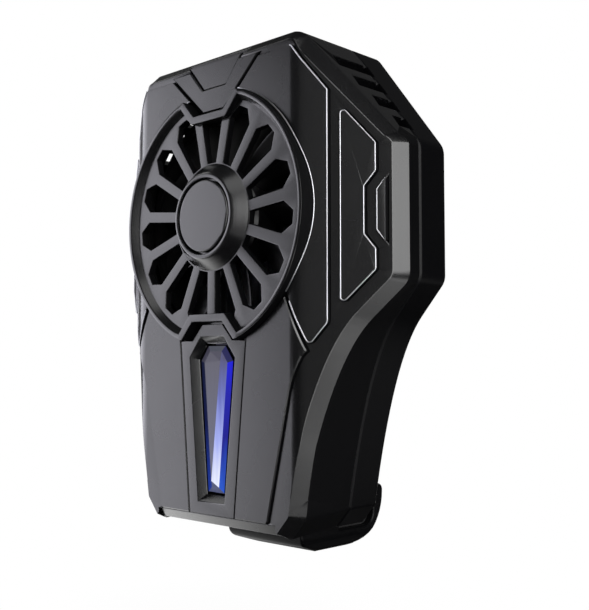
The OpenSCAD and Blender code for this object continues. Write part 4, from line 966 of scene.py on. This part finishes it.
@dataclass
class Screws:
    """Screws of the rear housing and of the claw, with rounded heads and a cross recess."""

    names: dict[str, str] = field(default_factory=lambda: {
        "shell_screws": "housing_screws", "hook_screws": "claw_screws"})
    rounding: float = 0.2 * MM
    rounding_steps: int = 3
    recess_length: float = 1.8 * MM
    recess_width: float = 0.42 * MM
    recess_depth: float = 0.45 * MM
    apart: float = 5 * MM

    def heads(self, piece: bpy.types.Object) -> list[Vector]:
        """Finds the middle of each screw's head.

        Args:
            piece: The screws, as one mesh.

        Returns:
            The middles of the heads' flat faces.
        """
        crown = max(v.co.y for v in piece.data.vertices)
        groups: list[list[Vector]] = []
        for vertex in piece.data.vertices:
            if abs(vertex.co.y - crown) > TOUCH:
                continue
            near = [g for g in groups if (g[0] - vertex.co).length < self.apart]
            if near:
                near[0].append(vertex.co.copy())
            else:
                groups.append([vertex.co.copy()])
        return [Vector([(min(axis) + max(axis)) / 2 for axis in zip(*group)]) for group in groups]

    def cut_bar(self, piece: bpy.types.Object, middle: Vector, size: Triple) -> None:
        """Cuts one bar of a cross recess into a head.

        Args:
            piece: The screws.
            middle: Middle of the head's flat face.
            size: Size of the bar, half of whose depth is above the face.
        """
        Bench.clear()
        bpy.ops.mesh.primitive_cube_add(size=1.0, location=middle)
        bar = bpy.context.active_object
        bar.scale = size
        bpy.ops.object.transform_apply(location=True, rotation=False, scale=True)
        cut = piece.modifiers.new("recess", "BOOLEAN")
        cut.object = bar
        cut.operation = "DIFFERENCE"
        Bench.only(piece)
        bpy.ops.object.modifier_apply(modifier=cut.name)
        bpy.data.objects.remove(bar)

    def build(self, finishes: Finishes) -> None:
        """Builds and dresses the screws.

        Args:
            finishes: The materials to choose from.
        """
        for node, name in self.names.items():
            piece = Bench.cad_copy(node, name)
            middles = self.heads(piece)
            Bench.soften(piece, self.rounding, self.rounding_steps)
            long, thin, deep = self.recess_length, self.recess_width, 2 * self.recess_depth
            for middle in middles:
                self.cut_bar(piece, middle, (long, deep, thin))
                self.cut_bar(piece, middle, (thin, deep, long))
            Bench.soften(piece, 0.0, 1)
            finishes.dress(piece, "steel_black_zinc")
            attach(piece, Body.HOUSING.value)
            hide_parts(node)
            LOG.info("%s stands for %s, %d heads", piece.name, node, len(middles))


@dataclass
class InnerNodes:
    """CAD nodes that lie inside or hardly show: they stay, with a finish."""

    finishes: dict[str, str] = field(default_factory=lambda: {
        "rotor_magnet": "ferrite_grey", "rotor_shaft": "steel_zinc_plated",
        "bearing_sleeve": "bronze_sintered", "motor_stator": "steel_zinc_plated",
        "motor_coils": "enamelled_copper", "fan_frame": "pbt_black_fan", "fan_screws": "steel_zinc_plated",
        "heat_sink": "aluminium_extruded", "peltier_module": "alumina_white", "foam_seal": "foam_black",
        "control_board": "solder_mask_green", "led_board": "solder_mask_green",
        "usb_socket": "steel_zinc_plated", "upper_hook_pad": "silicone_black",
        "lower_jaw_pad": "silicone_black", "slider_guide": "pbt_black_fan",
        "spring_left": "steel_zinc_plated", "spring_right": "steel_zinc_plated",
    })

    def build(self, finishes: Finishes) -> None:
        """Dresses the CAD nodes that stay.

        Args:
            finishes: The materials to choose from.
        """
        for node, finish in self.finishes.items():
            finishes.dress(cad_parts[node], finish)
            LOG.info("%s keeps its solid, in %s", node, finish)


@dataclass(frozen=True)
class Lamp:
    """A softbox that faces the object.

    Its place is the middle of its face, its size is width and height, and level 1 is white.
    """

    name: str
    place: Triple
    size: tuple[float, float]
    level: float
    tint: str = WHITE

    def build(self) -> None:
        """Adds the lamp to the scene."""
        width, height = self.size
        data = bpy.data.lights.new(self.name, "AREA")
        data.shape = "RECTANGLE"
        data.size, data.size_y = width, height
        data.color = linear(self.tint)[:3]
        data.energy = self.level * math.pi * width * height
        lamp = bpy.data.objects.new(self.name, data)
        lamp.location = self.place
        lamp.rotation_euler = (-Vector(self.place)).to_track_quat("-Z", "Y").to_euler()
        bpy.context.scene.collection.objects.link(lamp)


@dataclass
class Studio:
    """Camera, lamps, floor and white surroundings."""

    eye: Triple = (111.17 * MM, -118.42 * MM, -23.17 * MM)
    look: Triple = (-0.6892, 0.7218, 0.0635)
    lens: float = 55.94
    sensor: float = 36.0
    clip_start: float = 5 * MM
    floor_z: float = -80 * MM
    floor_size: float = 4.0
    diffuse_level: float = 0.3
    lamps: list[Lamp] = field(default_factory=lambda: [
        # The broad sheen on the front plates comes from the left.
        Lamp("left_softbox", (-0.772, -0.3, -0.08), (0.8, 0.84), 3.7, "#f6f5ff"),
        Lamp("upper_card", (-0.63, -0.12, 0.55), (0.3, 0.3), 2.2),
        # The hub's cone and the strip at the waist mirror a tall card near the camera.
        Lamp("near_card", (0.66, -0.445, 0.17), (0.26, 1.26), 8.5),
        # The ring's sloping wall mirrors a card above the front.
        Lamp("front_card", (0.17, -0.42, 0.7), (0.35, 0.4), 2.0),
        # The bevelled strip along the body's edge mirrors a card on the right.
        Lamp("right_card", (0.689, -0.1, 0.14), (0.46, 0.48), 6.0),
        # Dim fills for the front, the back and the top.
        Lamp("front_fill", (0.36, -0.78, 0.0), (0.9, 0.9), 0.2),
        Lamp("rear_card", (-0.46, 0.72, -0.1), (0.5, 0.7), 1.8),
        Lamp("top_fill", (-0.1, 0.62, 0.6), (0.8, 0.8), 0.06),
    ])

    def camera(self) -> None:
        """Makes the camera at the photograph's viewing angle."""
        data = bpy.data.cameras.new("camera")
        data.lens = self.lens
        data.sensor_width = self.sensor
        data.sensor_fit = "AUTO"
        data.clip_start = self.clip_start
        camera = bpy.data.objects.new("camera", data)
        camera.location = self.eye
        camera.rotation_euler = Vector(self.look).to_track_quat("-Z", "Y").to_euler()
        bpy.context.scene.collection.objects.link(camera)
        bpy.context.scene.camera = camera

    def surroundings(self) -> None:
        """Makes the world white where it is seen and a dim grey room for the plastic's gloss."""
        world = bpy.data.worlds.new("studio")
        bpy.context.scene.world = world
        world.use_nodes = True
        tree = world.node_tree
        tree.nodes.clear()
        ray = add_node(tree, "ShaderNodeLightPath")
        seen = add_math(tree, "MAXIMUM", ray.outputs["Is Camera Ray"], ray.outputs["Is Transmission Ray"])
        gloss = add_math(tree, "MULTIPLY", ray.outputs["Is Glossy Ray"], ROOM_LEVEL)
        diffuse = add_math(tree, "MULTIPLY", ray.outputs["Is Diffuse Ray"], self.diffuse_level)
        level = add_math(tree, "MAXIMUM", add_math(tree, "MAXIMUM", seen, gloss), diffuse)
        sky = add_node(tree, "ShaderNodeBackground", {"Color": linear(WHITE)}, {"Strength": level})
        add_node(tree, "ShaderNodeOutputWorld", links={"Surface": sky.outputs["Background"]})

    def floor(self) -> None:
        """Lays a plain floor of white paper that keeps the object's shadow."""
        Bench.clear()
        bpy.ops.mesh.primitive_plane_add(size=self.floor_size, location=(0, 0, self.floor_z))
        plane = bpy.context.active_object
        plane.name = "floor"
        plane.data.materials.append(StudioPaper().material())

    def build(self) -> None:
        """Sets up the whole studio."""
        bpy.context.scene.view_settings.view_transform = "Standard"
        self.camera()
        for lamp in self.lamps:
            lamp.build()
        self.surroundings()
        self.floor()
        LOG.info("studio and camera are set")


def main() -> None:
    """Builds the studio and every sub-assembly in order."""
    logging.basicConfig(level=logging.INFO, format="%(message)s")
    Studio().build()
    finishes = Finishes()
    CarriedNodes().build(finishes)
    LightCrystal().build(finishes)
    Screws().build(finishes)
    InnerNodes().build(finishes)


if __name__ == "__main__":
    main()
